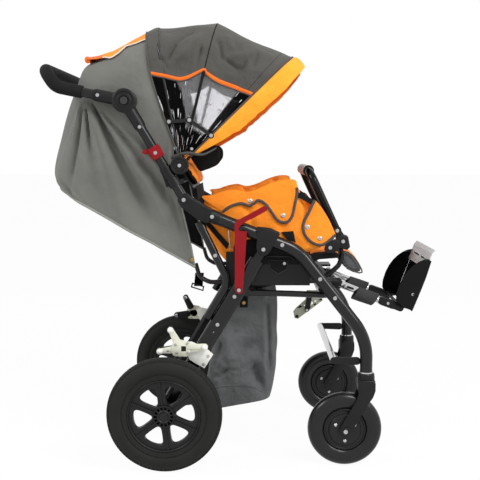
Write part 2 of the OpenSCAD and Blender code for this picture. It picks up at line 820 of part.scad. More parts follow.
module back_tube() {
    start = on_back(0, 0);
    stop = on_back(back_len - disc_r - overrun, 0);
    difference() {
        union() {
            rod(at(start, frame_y), at(stop, frame_y), back_r);
            rod_y(back_pivot, frame_y - back_r, frame_y + back_r, back_ear_r - bolt_h);
            rod_y(handle_at, frame_y - disc_t, frame_y - run_gap / 2, disc_r);
            link(on_back(back_len - disc_r - back_r * 2, 0), handle_at, back_r, back_r,
                frame_y - back_r + overrun, frame_y - run_gap / 2);
        }
        rod_y(back_pivot, frame_y - rail_r * 2, frame_y + rail_r * 2, pin_r + run_gap);
    }
    rod_y(handle_at, frame_y - disc_t, frame_y + disc_t / 2, pin_r);
}

module back_cross() {
    rod_y(on_back(back_cross_run, back_r + back_cross_r + seat_gap), -frame_y, frame_y, back_cross_r);
}

board_y = 148;
board_t = 5;
board_low = 8;
board_high = 286;
back_pad_t = 26;
module back_board() {
    off = back_r + back_cross_r * 2 + seat_gap * 2;
    plate([on_back(board_low, off), on_back(board_high, off), on_back(board_high, off + board_t),
        on_back(board_low, off + board_t)], -board_y, board_y);
}

module back_cushion() {
    off = back_r + back_cross_r * 2 + seat_gap * 3 + board_t;
    tilt = atan2(back_dir[1], back_dir[0]);
    p = on_back(0, off + back_pad_t / 2);
    translate([p[0], 0, p[1]])
        rotate([0, -tilt, 0])
            rotate([90, 0, 0])
                pad(round_box(board_low, -board_y, board_high, board_y, board_y / 3, 6), 0, back_pad_t / 2);
}

head_shares = [[0, -0.36], [0.55, -0.42], [0.85, -0.25], [1, 0.05], [0.95, 0.35], [0.7, 0.5], [0.3, 0.52],
    [0, 0.5]];
head_size = 70;
head_reach = 96;
head_run = 64;
head_pad_t = 30;
head_pad_y = 112;
module head_pad() {
    off = back_r + back_cross_r * 2 + seat_gap * 3 + board_t + back_pad_t;
    pad([for (s = head_shares) on_back(head_run + s[1] * head_size, off + s[0] * head_reach)],
        head_pad_y, head_pad_t / 2);
}

module hood_bracket() {
    p = on_back(hood_run, 0);
    ring = back_r + catch_wall;
    low = at(on_back(hood_run - catch_len / 2, 0), frame_y);
    high = at(on_back(hood_run + catch_len / 2, 0), frame_y);
    far = (high - low) * 2;
    difference() {
        union() {
            rod(low, high, ring);
            link(p, hood_at, catch_len * 0.8, catch_len * 0.8, frame_y - back_r + overrun,
                frame_y + back_r / 2);
        }
        rod(low - far, high + far, back_r + run_gap);
    }
    rod_y(hood_at, bow_y[2] - bow_pitch / 2, frame_y, bow_r + clear);
    rod_y(hood_at, frame_y, frame_y + back_r + bolt_h, hood_ahead - back_r - clear);
}

module fold_catch() {
    low = at(on_back(catch_run - catch_len / 2, 0), frame_y);
    high = at(on_back(catch_run + catch_len / 2, 0), frame_y);
    far = (high - low) * 2;
    y0 = frame_y + back_r + run_gap;
    difference() {
        union() {
            rod(low, high, back_r + catch_wall);
            plate([on_back(catch_run - catch_len / 2, -back_r), on_back(catch_run + catch_len / 2, -back_r),
                on_back(catch_run + catch_len / 2, back_r), on_back(catch_run + catch_len, back_r * 2),
                on_back(catch_run, back_r * 2.6), on_back(catch_run - catch_len / 2, back_r * 2)],
                y0, y0 + catch_wall);
        }
        rod(low - far, high + far, back_r + run_gap);
    }
}

module bow(k) {
    y = bow_y[k];
    foot = hood_at + bow_dirs[k] * (bow_r * 3);
    bent([at(foot, -y), at(bow_tops[k], -y), at(bow_tops[k], y), at(foot, y)], [bow_bend, bow_bend], bow_r);
    both()
        difference() {
            rod_y(hood_at, y - bow_r + seat_gap, y + bow_r - seat_gap, bow_r * 3.5);
            rod_y(hood_at, y - bow_pitch, y + bow_pitch, bow_r + clear + run_gap);
        }
}

function hood_row(a, b, t, low, extra) = let (d = unit(bow_dirs[a] * (1 - t) + bow_dirs[b] * t),
    l = bow_lens[a] * (1 - t) + bow_lens[b] * t, w = bow_y[a] * (1 - t) + bow_y[b] * t)
    lay(hood_at, d, hoop(w + cloth_off + extra, l + cloth_off + extra, bow_bend + cloth_off + extra,
        l - window_drop + low, 1, 5, 2));
function window_row(a, b, t, side, extra) = let (d = unit(bow_dirs[a] * (1 - t) + bow_dirs[b] * t),
    l = bow_lens[a] * (1 - t) + bow_lens[b] * t,
    w = (bow_y[a] * (1 - t) + bow_y[b] * t + cloth_off + extra) * side)
    lay(hood_at, d, [[w, window_low], [w, l - window_drop - seat_gap]]);

rear_gap_share = 0.012;
hood_lip_share = 0.14;
module hood(a, b, lip) {
    steps = 4;
    last = lip > 0 ? 1 : 1 - rear_gap_share;
    ts = concat([for (k = [0:steps]) mix(rear_gap_share, last, k / steps)], lip > 0 ? [1 + lip] : []);
    sheet([for (t = ts) hood_row(a, b, t, 0, cloth_t)], [for (t = ts) hood_row(a, b, t, 0, 0)]);
}

module window(a, b) {
    steps = 4;
    ts = [for (k = [0:steps]) rear_gap_share + (1 - 2 * rear_gap_share) * k / steps];
    sheet([for (t = ts) window_row(a, b, t, 1, cloth_t / 2)], [for (t = ts) window_row(a, b, t, 1, 0)]);
}

stay_rear = hood_at + bow_dirs[0] * stay_run;
stay_front = hood_at + bow_dirs[2] * stay_front_run;
stay_y = bow_y[2] - bow_r - clear * 2;
module rear_stays() {
    both()
        difference() {
            link(stay_rear, stay_knee, stay_w, stay_w, stay_y - stay_t, stay_y);
            rod_y(stay_rear, stay_y - stay_t * 2, stay_y + stay_t, bow_r / 2 + run_gap);
        }
    both()
        rod_y(stay_knee, stay_y - stay_t * 2 - seat_gap * 2, stay_y - stay_t / 2, bow_r / 2);
}

module front_stays() {
    y = stay_y - stay_t - seat_gap;
    both()
        difference() {
            link(stay_knee, stay_front, stay_w, stay_w, y - stay_t, y);
            rod_y(stay_knee, y - stay_t * 2, y + stay_t, bow_r / 2 + run_gap);
        }
}

module rear_bow() {
    bow(0);
    both()
        rod_y(stay_rear, stay_y - stay_t, bow_y[0], bow_r / 2);
}

drape_steps = 9;
function mix(a, b, t) = a * (1 - t) + b * t;
function drape_back(t) = t < 0.35 ? mix(bow_rear, drape_top, t / 0.35) :
    t < 0.85 ? mix(drape_top, drape_rear, (t - 0.35) / 0.5) + [-sin((t - 0.35) * 360) * fold_depth * 5, 0] :
    mix(drape_rear, drape_hem, (t - 0.85) / 0.15);
drape_start = hood_at + bow_dirs[0] * window_low;
function drape_foot(t) = t < 0.35 ? mix(drape_start, hood_at - [bow_r * 6, 0], t / 0.35) :
    mix(hood_at - [bow_r * 6, 0], drape_corner, (t - 0.35) / 0.65);
fold_start_share = 0.3;
function fold_in(t, run) = fold_depth * max(0, t - fold_start_share) * (1 + cos(360 * folds * run));
function drape_row(t, extra) = let (f = drape_foot(t), b = drape_back(t), d = unit(b - f),
    l = norm(b - f) + extra, w = bow_y[0] + cloth_off + extra,
    h = hoop(w, l, min(drape_bend, l / 2), 0, 12, 4, 3))
    lay(f, d, [for (p = h) [p[0] * (1 - fold_in(t, p[1] / l) / w), p[1]]]);
module drape() {
    ts = [for (k = [0:drape_steps]) rear_gap_share + (1 - rear_gap_share) * k / drape_steps];
    sheet([for (t = ts) drape_row(t, cloth_t)], [for (t = ts) drape_row(t, 0)]);
}

handle_dir = unit(grip_start - handle_at);
module handle_tube() {
    start = handle_at + handle_dir * (disc_r + overrun);
    both() {
        rod(at(start, frame_y), at(grip_start, frame_y), back_r);
        difference() {
            union() {
                rod_y(handle_at, frame_y + run_gap / 2, frame_y + disc_t, disc_r);
                link(handle_at, handle_at + handle_dir * (disc_r + back_r * 2), back_r, back_r,
                    frame_y + run_gap / 2, frame_y + back_r - overrun);
            }
            rod_y(handle_at, frame_y - disc_t, frame_y + disc_t / 2 + run_gap, pin_r + run_gap);
            rod_y(handle_at, frame_y + disc_t - button_travel - overrun, frame_y + disc_t * 2,
                button_r + run_gap);
        }
    }
}

module handle_grip() {
    start = grip_start + handle_dir * seat_gap;
    p = [for (y = [-frame_y, frame_y]) [at(start, y), at(handle_elbow, y), at(handle_bar, y)]];
    bent([p[0][0], p[0][1], p[0][2], p[1][2], p[1][1], p[1][0]],
        [elbow_bend, corner_bend, corner_bend, elbow_bend], grip_r);
}

module button() {
    low = frame_y + disc_t - overrun + seat_gap;
    rod_y(handle_at, low, low + overrun + button_travel, button_r);
}

floor_notch_y = 132;
notch_front = 452;
module seat_floor() {
    side = seat_y - panel_t;
    difference() {
        translate([floor_rear, -side, floor_z])
            cube([floor_front - floor_rear, side * 2, floor_t]);
        translate([notch_front, -floor_notch_y, floor_z - overrun])
            cube([floor_front - notch_front + overrun, floor_notch_y * 2, floor_t + overrun * 2]);
    }
    both() {
        translate([floor_rear, side, floor_z - panel_t])
            cube([panel_front - floor_rear, panel_t, panel_top - floor_z + panel_t]);
        difference() {
            link([cross_rear[0], floor_z], cross_rear, cross_r * 4, cross_r * 3.2,
                cushion_y, cushion_y + panel_t);
            rod_y(cross_rear, 0, frame_y, cross_r + run_gap);
            translate([0, 0, floor_z])
                cube([frame_y * 3, frame_y, frame_y]);
        }
        plate([[notch_front - floor_t * 5, floor_z], [notch_front, floor_z], rest_at + [rest_rod_r * 2, 0],
            rest_at - [0, rest_rod_r * 2], rest_at - [rest_rod_r * 3, rest_rod_r]],
            rest_y + sleeve_r + clear, rest_y + sleeve_r + clear + panel_t);
    }
    rod_y(rest_at, -rest_y - sleeve_r - panel_t, rest_y + sleeve_r + panel_t, rest_rod_r);
}

apron_lap_share = 0.11;
module seat_cushion() {
    z = floor_z + floor_t + seat_gap + cushion_t / 2;
    translate([0, 0, z])
        rotate([90, 0, 0])
            pad(round_box(floor_rear - panel_t * 2, -cushion_y, apron_top[0] - apron_t * apron_lap_share,
                cushion_y, cushion_y / 4, 6), 0, cushion_t / 2);
}

wing_top_shares = [[0.12, 0.02], [0.3, 0.1], [0.5, 0.38], [0.72, 0.78], [0.88, 0.97]];
wing_front_shares = [[0.3, 0.12], [0.62, 0.45], [0.9, 0.72]];
wing_base = 424;
wing_side_shares = [0.25, 0.5, 0.75];
wing_base_shares = [0, 0.25, 0.5, 0.75, 1];
module wing() {
    low = [floor_rear + panel_t, wing_foot_z];
    span = wing_front - wing_rear;
    fall = [wing_base, wing_foot_z] - wing_front;
    top = [for (s = wing_top_shares) wing_rear + [span[0] * s[0], span[1] * s[1]]];
    front = [for (s = wing_front_shares) wing_front + [fall[0] * s[0], fall[1] * s[1]]];
    base = [for (s = wing_base_shares) [wing_base + (low[0] - wing_base) * s, wing_foot_z]];
    side = [for (s = wing_side_shares) low + (wing_rear - low) * s];
    outline = concat([wing_rear], top, [wing_front], front, base, side);
    pad([for (k = [len(outline) - 1:-1:0]) outline[k]], wing_y, wing_t / 2);
}

apron_ring = 4;
module seat_apron() {
    d = apron_tip - apron_top;
    half = apron_t / 2;
    translate([apron_top[0], 0, apron_top[1]])
        rotate([0, -atan2(d[1], d[0]), 0])
            rotate([90, 0, 0])
                pad(round_box(0, -cushion_y, norm(d), cushion_y, half, apron_ring), 0, half);
}

module bumper_bracket() {
    for (s = [-1, 1]) {
        y0 = bumper_y + s * (bumper_r + clear / 2 + ear_t / 2) - ear_t / 2;
        link([bumper_at[0] - ear_t, floor_z + floor_t + bumper_r], bumper_at, bumper_r * 2, bumper_r * 2,
            y0, y0 + ear_t);
    }
    rod_y(bumper_at, bumper_y - bumper_r - clear, bumper_y + bumper_r + clear, pin_r - clear);
}

module bumper_bar() {
    difference() {
        bent([at(bumper_at, -bumper_y), at(bumper_top, -bumper_y), at(bumper_top, bumper_y),
            at(bumper_at, bumper_y)], [bumper_bend, bumper_bend], bumper_r);
        rod_y(bumper_at, -frame_y, frame_y, pin_r - clear + run_gap);
    }
    both()
        difference() {
            rod_y(bumper_at, bumper_y - bumper_r + seat_gap, bumper_y + bumper_r - seat_gap,
                bumper_r + clear);
            rod_y(bumper_at, 0, frame_y, pin_r - clear + run_gap);
        }
}

module leg_rest() {
    both()
        difference() {
            union() {
                rod(at(rest_at, rest_y), at(on_rest(sleeve_len), rest_y), sleeve_r);
                rod_y(rest_at, rest_y - sleeve_r, rest_y + sleeve_r, sleeve_r);
            }
            rod(at(on_rest(sleeve_r * 2), rest_y), at(on_rest(sleeve_len + overrun), rest_y),
                inner_r + run_gap);
            rod_y(rest_at, 0, frame_y, rest_rod_r + run_gap);
        }
    p = on_rest(sleeve_r * 4);
    rod_y(p, -rest_y + sleeve_r - overrun, rest_y - sleeve_r + overrun, inner_r - overrun);
}

foot_dir = unit(foot_high - foot_low);
foot_ahead = [foot_dir[1], -foot_dir[0]];
foot_pivot = on_rest(inner_len);
module leg_extension() {
    start = on_rest(sleeve_r * 3);
    both()
        rod(at(start, rest_y), at(on_rest(inner_len - inner_r - clear * 2), rest_y), inner_r);
    difference() {
        both() {
            for (y = [rest_y - inner_r, rest_y + inner_r - ear_t])
                link(on_rest(inner_len - inner_r * 3), foot_pivot, inner_r * 2, inner_r * 2, y, y + ear_t);
        }
        both()
            rod(at(on_rest(inner_len - inner_r * 4), rest_y),
                at(on_rest(inner_len - inner_r - clear * 2), rest_y), inner_r - clear);
    }
    rod_y(foot_pivot, -rest_y - inner_r, rest_y + inner_r, pin_r - clear);
}

module footplate() {
    half = foot_y - guard_t - seat_gap;
    plate([foot_low, foot_high, foot_high + foot_ahead * foot_t, foot_low + foot_ahead * foot_t],
        -half, half);
    both()
        difference() {
            link(foot_pivot, foot_low + foot_dir * foot_t + foot_ahead * foot_t / 2, inner_r * 2, foot_t,
                rest_y - ear_t / 2, rest_y + ear_t / 2);
            rod_y(foot_pivot, 0, frame_y, pin_r - clear + run_gap);
        }
}

guard_shares = [[0, 0.6], [0.07, 0.85], [0.2, 0.97], [0.38, 1], [0.54, 0.95], [0.67, 0.84], [0.79, 0.67],
    [0.89, 0.45], [0.96, 0.22], [1, 0]];
module foot_guard() {
    rear = [for (s = guard_shares) foot_low + foot_dir * guard_len * s[0] - foot_ahead * guard_reach * s[1]];
    front = [foot_low + foot_dir * guard_len + foot_ahead * foot_t, foot_low + foot_ahead * foot_t];
    plate(concat([foot_low], rear, front), foot_y - guard_t, foot_y);
}

black = "#1c1c1c";
grey = "#6b6a66";
orange = "#ff931c";
red = "#a8151f";
steel = "#b8b8b8";

translate([-origin_x, 0, 0]) {
    color(black) both() front_leg();  // front_legs
    color(black) both() leg_bracket();  // leg_brackets
    color(black) both() back_hinge();  // back_hinges
    color(black) both() lower_bar();  // lower_bars
    color(black) both() rear_leg();  // rear_legs
    color(black) both() strut();  // struts
    color("#e8e8e0") both() brake_plate();  // brake_plates
    color(black) both() back_tube();  // back_tubes
    color(black) both() head_pad();  // head_pads
    color(black) both() hood_bracket();  // hood_brackets
    color(red) both() fold_catch();  // fold_catches
    color("#dde4e8") both() window(0, 1);  // rear_windows
    color("#dde4e8") both() window(1, 2);  // front_windows
    color(orange) both() wing();  // wings
    color(black) both() bumper_bracket();  // bumper_brackets
    color(black) both() foot_guard();  // foot_guards
    color("#2a2a28") rear_tyre();  // rear_tyre_L
    color("#2a2a28") mirror([0, 1, 0]) rear_tyre();  // rear_tyre_R
    color(black) rear_rim();  // rear_rim_L
    color(black) mirror([0, 1, 0]) rear_rim();  // rear_rim_R
    color(black) castor_fork();  // castor_fork_L
    color(black) mirror([0, 1, 0]) castor_fork();  // castor_fork_R
    color("#2a2a28") castor_tyre();  // castor_tyre_L
    color("#2a2a28") mirror([0, 1, 0]) castor_tyre();  // castor_tyre_R
    color(black) castor_rim();  // castor_rim_L
    color(black) mirror([0, 1, 0]) castor_rim();  // castor_rim_R
    color(red) lock_lever();  // lock_lever_L
    color(red) mirror([0, 1, 0]) lock_lever();  // lock_lever_R
    color("#dcdcc8") brake_lever();  // brake_lever_L
    color("#dcdcc8") mirror([0, 1, 0]) brake_lever();  // brake_lever_R
    color(black) button();  // button_L
    color(black) mirror([0, 1, 0]) button();  // button_R
    color(black) step_bar();
    color("#b0b29c") tilt_bracket();
    color(steel) frame_bolts();
    color("#5a5a57") basket();
    color(steel) rear_axle();
    color(steel) leg_bolts();
    color(black) back_cross();
    color(black) back_board();
    color(orange) back_cushion();
    color(black) rear_bow();
    color(grey) drape();
    color(black) handle_tube();
    color(black) handle_grip();
    color(black) bow(1);  // middle_bow
    color(grey) hood(0, 1, 0);  // hood_rear
    color(black) bow(2);  // front_bow
    color(grey) hood(1, 2, hood_lip_share);  // hood_front
    color(black) rear_stays();
    color(black) front_stays();
    color(black) seat_floor();
    color(orange) seat_cushion();
    color(grey) seat_apron();
    color(black) bumper_bar();
    color("#3a3a3a") leg_rest();
    color(steel) leg_extension();
    color("#c4c4c2") footplate();
    color(black) cross_tubes();
}
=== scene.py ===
import math
import bpy
import bmesh
from mathutils import Matrix, Vector, noise


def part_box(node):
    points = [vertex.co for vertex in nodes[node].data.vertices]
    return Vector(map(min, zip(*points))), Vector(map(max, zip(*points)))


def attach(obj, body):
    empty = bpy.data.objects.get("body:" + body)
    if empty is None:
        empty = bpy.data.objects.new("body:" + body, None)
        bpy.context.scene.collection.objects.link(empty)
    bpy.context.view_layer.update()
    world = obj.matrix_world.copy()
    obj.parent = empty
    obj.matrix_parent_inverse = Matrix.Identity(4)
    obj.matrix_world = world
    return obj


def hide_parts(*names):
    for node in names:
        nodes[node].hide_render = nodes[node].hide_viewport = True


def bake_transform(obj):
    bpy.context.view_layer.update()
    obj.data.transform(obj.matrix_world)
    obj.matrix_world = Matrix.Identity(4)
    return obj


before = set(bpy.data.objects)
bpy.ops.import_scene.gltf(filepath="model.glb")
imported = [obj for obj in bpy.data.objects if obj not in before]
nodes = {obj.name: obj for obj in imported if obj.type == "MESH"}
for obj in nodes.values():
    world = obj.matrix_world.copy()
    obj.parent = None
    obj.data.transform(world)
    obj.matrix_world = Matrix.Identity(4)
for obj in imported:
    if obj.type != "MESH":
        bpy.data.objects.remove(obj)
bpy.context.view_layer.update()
scene = bpy.context.scene
print("frame loaded, quick is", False)


# Places are written as in the drawing: x ahead of the rear axle, z above the floor, y sideways, in mm
originX = 207.5  # the frame's origin in the drawing


def spot(x, z, y=0.0):
    return Vector(((x - originX) / 1000, y / 1000, z / 1000))


def drawn(p):
    # back from a place to the drawing's x and z
    return p.x * 1000 + originX, p.z * 1000


def mix(a, b, t):
    return a + (b - a) * t


def clamp(t, high=1.0):
    return min(high, max(0.0, t))


def lerp(table, t):
    if t <= table[0][0]:
        return table[0][1]
    for (t0, v0), (t1, v1) in zip(table, table[1:]):
        if t <= t1:
            k = (t - t0) / (t1 - t0)
            if isinstance(v0, tuple):
                return tuple(mix(p, q, k) for p, q in zip(v0, v1))
            return mix(v0, v1, k)
    return table[-1][1]


def glide(table, t):
    # smooth run through the table's values
    last = len(table) - 1
    k = max(1, min(last, next((i for i, row in enumerate(table) if row[0] >= t), last)))
    rows = [table[max(0, k - 2)], table[k - 1], table[k], table[min(last, k + 1)]]
    s = clamp((t - rows[1][0]) / (rows[2][0] - rows[1][0]))
    out = []
    for i in range(len(rows[1][1])):
        p0, p1, p2, p3 = (r[1][i] for r in rows)
        out.append(0.5 * (2 * p1 + (p2 - p0) * s + (2 * p0 - 5 * p1 + 4 * p2 - p3) * s * s
                          + (3 * p1 - p0 - 3 * p2 + p3) * s ** 3))
    return tuple(out)


def smoothLine(points, closed=False, cuts=4):
    rows = list(points) + ([points[0]] if closed else [])
    if closed:  # run past both ends so that the join is smooth too
        rows = [points[-1]] + rows + [points[1]]
    table = [(float(k), p) for k, p in enumerate(rows)]
    first, last = (1, len(points) + 1) if closed else (0, len(points) - 1)
    count = (last - first) * cuts
    return [glide(table, first + k / cuts) for k in range(count + (0 if closed else 1))]


def ripple(p, scale, seed=0.0):
    return noise.noise(Vector((p[0] * scale + seed, p[1] * scale, p[2] * scale)))


def tone(code):
    parts = [int(code[i:i + 2], 16) / 255 for i in (1, 3, 5)]
    return tuple(c / 12.92 if c <= 0.04045 else ((c + 0.055) / 1.055) ** 2.4 for c in parts) + (1.0,)


# finishes
def feed(tree, value, socket):
    # a number is set, an output is linked
    if isinstance(value, (int, float)):
        socket.default_value = value
    elif value is not None:
        tree.links.new(value, socket)


def calc(tree, operation, a, b=None):
    node = tree.nodes.new("ShaderNodeMath")
    node.operation = operation
    for socket, value in zip(node.inputs, (a, b)):
        feed(tree, value, socket)
    return node.outputs[0]


def total(tree, *terms):
    # adds the terms up; a pair is multiplied first
    made = [calc(tree, "MULTIPLY", *term) if isinstance(term, tuple) else term for term in terms]
    out = made[0]
    for term in made[1:]:
        out = calc(tree, "ADD", out, term)
    return out


def span(tree, value, low, high, out=(0.0, 1.0)):
    node = tree.nodes.new("ShaderNodeMapRange")
    node.inputs["From Min"].default_value, node.inputs["From Max"].default_value = low, high
    node.inputs["To Min"].default_value, node.inputs["To Max"].default_value = out
    tree.links.new(value, node.inputs["Value"])
    return node.outputs["Result"]


def objectCoords(tree):
    return tree.nodes.new("ShaderNodeTexCoord").outputs["Object"]


def split(tree, coords):
    node = tree.nodes.new("ShaderNodeSeparateXYZ")
    tree.links.new(coords, node.inputs[0])
    return node.outputs[:]


def newGroup(name, inputs, outputs):
    tree = bpy.data.node_groups.new(name, "ShaderNodeTree")
    for label, value in inputs:
        tree.interface.new_socket(label, in_out="INPUT", socket_type="NodeSocketFloat").default_value = value
    for label in outputs:
        tree.interface.new_socket(label, in_out="OUTPUT", socket_type="NodeSocketFloat")
    return tree, tree.nodes.new("NodeGroupInput").outputs, tree.nodes.new("NodeGroupOutput").inputs


def noiseNode(tree, coords, scale, detail=3.0, kind="FBM", stretch=None):
    node = tree.nodes.new("ShaderNodeTexNoise")
    node.noise_type = kind
    node.inputs["Detail"].default_value = detail
    if kind == "RIDGED_MULTIFRACTAL":
        node.inputs["Offset"].default_value = 0.9
        node.inputs["Gain"].default_value = 1.6
    if stretch:
        turn = tree.nodes.new("ShaderNodeMapping")
        turn.inputs["Scale"].default_value = stretch
        tree.links.new(coords, turn.inputs["Vector"])
        coords = turn.outputs[0]
    tree.links.new(coords, node.inputs["Vector"])
    feed(tree, scale, node.inputs["Scale"])
    return node.outputs[0]


def makeWeaveGroup():
    tree, given, put = newGroup("clothWeave", [("Threads", 900), ("Thread Depth", 0.0002), ("Rumples", 9),
                                               ("Rumple Depth", 0.004)], ["Height", "Shade"])
    coords = objectCoords(tree)
    x, y, z = (calc(tree, "SINE", calc(tree, "MULTIPLY", way, given["Threads"]))
               for way in split(tree, coords))
    cross = total(tree, (x, y), (y, z), (x, z))
    broad = noiseNode(tree, coords, given["Rumples"], 4.0)
    crease = noiseNode(tree, coords, calc(tree, "MULTIPLY", given["Rumples"], 1.7), 2.0,
                       "RIDGED_MULTIFRACTAL")
    folds = total(tree, broad, (crease, 0.07))
    tree.links.new(total(tree, (cross, given["Thread Depth"]), (folds, given["Rumple Depth"])), put["Height"])
    fleck = noiseNode(tree, coords, 420.0, 1.0)
    # tone: partly random, partly painted shade, since the fold noise and the threads that raise the bump also
    # lighten its crests and darken its valleys; the flecks are random
    tree.links.new(total(tree, (broad, 0.7), (fleck, 0.25), (cross, 0.06)), put["Shade"])
    return tree


def makeGrainGroup():
    tree, given, put = newGroup("surfaceGrain", [("Grain", 700), ("Depth", 0.00005), ("Patches", 8),
                                                 ("Scuffs", 0.2)], ["Height", "Shade"])
    coords = objectCoords(tree)
    fine = noiseNode(tree, coords, given["Grain"], 2.0)
    broad = noiseNode(tree, coords, given["Patches"], 5.0)
    scratch = noiseNode(tree, coords, 60.0, 4.0, "RIDGED_MULTIFRACTAL", (1.0, 1.0, 0.12))
    marks = calc(tree, "MULTIPLY", calc(tree, "GREATER_THAN", scratch, 1.55), given["Scuffs"])
    tree.links.new(calc(tree, "MULTIPLY", fine, given["Depth"]), put["Height"])
    tree.links.new(total(tree, (broad, 0.75), (fine, 0.2), marks), put["Shade"])
    return tree


weaveGroup = makeWeaveGroup()
grainGroup = makeGrainGroup()


def newMaterial(name):
    material = bpy.data.materials.new(name)
    material.use_nodes = True
    return material, material.node_tree, material.node_tree.nodes["Principled BSDF"]


def dress(tree, shader, colours, shade, spread, rough, height):
    # colour, roughness and bump of a finish
    blendColour = tree.nodes.new("ShaderNodeMix")
    blendColour.data_type = "RGBA"
    blendColour.inputs["A"].default_value, blendColour.inputs["B"].default_value = colours
    tree.links.new(shade, blendColour.inputs["Factor"])
    tree.links.new(blendColour.outputs["Result"], shader.inputs["Base Color"])
    tree.links.new(span(tree, spread, 0.0, 1.0, rough), shader.inputs["Roughness"])
    bump = tree.nodes.new("ShaderNodeBump")
    bump.inputs["Distance"].default_value = 1.0
    tree.links.new(height, bump.inputs["Height"])
    tree.links.new(bump.outputs["Normal"], shader.inputs["Normal"])


def finishOf(name, group, values, dark, light, rough, fixed):
    material, tree, shader = newMaterial(name)
    made = tree.nodes.new("ShaderNodeGroup")
    made.node_tree = group
    for label, value in values.items():
        made.inputs[label].default_value = value
    shade = made.outputs["Shade"]
    dress(tree, shader, (tone(dark), tone(light)), shade, shade, rough, made.outputs["Height"])
    for label, value in fixed.items():
        shader.inputs[label].default_value = value
    return material


def weave(name, dark, light, rumples, rumpleDepth, threads=5200, threadDepth=0.00006, fixed=None):
    return finishOf(name, weaveGroup, {"Threads": threads, "Thread Depth": threadDepth, "Rumples": rumples,
                                       "Rumple Depth": rumpleDepth}, dark, light, (0.75, 0.9),
                    {"Specular IOR Level": 0.3, "Sheen Weight": 0.08, **(fixed or {})})


def grain(name, dark, light, grainScale, depth, patches, scuffs, rough, fixed=None):
    return finishOf(name, grainGroup,
                    {"Grain": grainScale, "Depth": depth, "Patches": patches, "Scuffs": scuffs}, dark, light,
                    rough, {"Specular IOR Level": 0.3, **(fixed or {})})


# angles about the pivot, distances from it; rear, front and foot bound the zones of painted shade, and the
# second colour is that painted dark
filmSet = {"pivot": (-0.165, 0.822), "rear": (1.2, 1.34), "front": (0.96, 0.87), "foot": (0.085, 0.12),
           "lean": 1.43, "fan": (9.0, 12.0, 7.0), "index": 1.12, "rough": (0.02, 0.12), "crease": 0.0006,
           "colours": ((0.86, 0.86, 0.88, 1), (0.012, 0.012, 0.012, 1))}


def makeFilm(name, clear, glint=False):
    # clear sheet with creases that fan out from the hood's pivot; its colour is painted dark in the rear,
    # front and foot zones, a painted shade and reflection of the dark hood inside, and along dark streaks,
    # painted reflections of the creases
    material, tree, shader = newMaterial(name)
    shader.inputs["Transmission Weight"].default_value = clear
    shader.inputs["IOR"].default_value = filmSet["index"]
    x, y, z = split(tree, objectCoords(tree))
    ahead, above = (calc(tree, "SUBTRACT", way, at) for way, at in zip((x, z), filmSet["pivot"]))
    reach = calc(tree, "SQRT", total(tree, (ahead, ahead), (above, above)))
    angle = calc(tree, "ARCTAN2", above, ahead)
    fan = tree.nodes.new("ShaderNodeCombineXYZ")
    for value, scale, socket in zip((angle, reach, y), filmSet["fan"], fan.inputs):
        tree.links.new(calc(tree, "MULTIPLY", value, scale), socket)
    crease = noiseNode(tree, fan.outputs[0], 2.3, 5.0, "RIDGED_MULTIFRACTAL")
    patch = noiseNode(tree, fan.outputs[0], 0.9, 3.0)
    rear = span(tree, total(tree, angle, (reach, -filmSet["lean"])), *filmSet["rear"])
    front = span(tree, angle, *filmSet["front"])
    foot = span(tree, reach, *filmSet["foot"], (1.0, 0.0))
    # painted shade: the film is coloured dark in these zones
    paintedShade = calc(tree, "MAXIMUM", calc(tree, "MAXIMUM", rear, front), foot)
    paintedShade = span(tree, total(tree, paintedShade, (patch, 0.9)), 0.85, 1.07)
    # painted reflections: dark streaks along the creases, halved in the glint film
    paintedStreaks = span(tree, calc(tree, "MULTIPLY", crease, calc(tree, "ADD", patch, 0.5)), 1.25, 1.6)
    shade = calc(tree, "MULTIPLY", paintedStreaks, 0.5) if glint else calc(tree, "MAXIMUM", paintedStreaks, paintedShade)
    dress(tree, shader, filmSet["colours"], shade, patch, filmSet["rough"],
          calc(tree, "MULTIPLY", crease, filmSet["crease"]))
    return material


def dull(level):
    return {"Specular IOR Level": level}


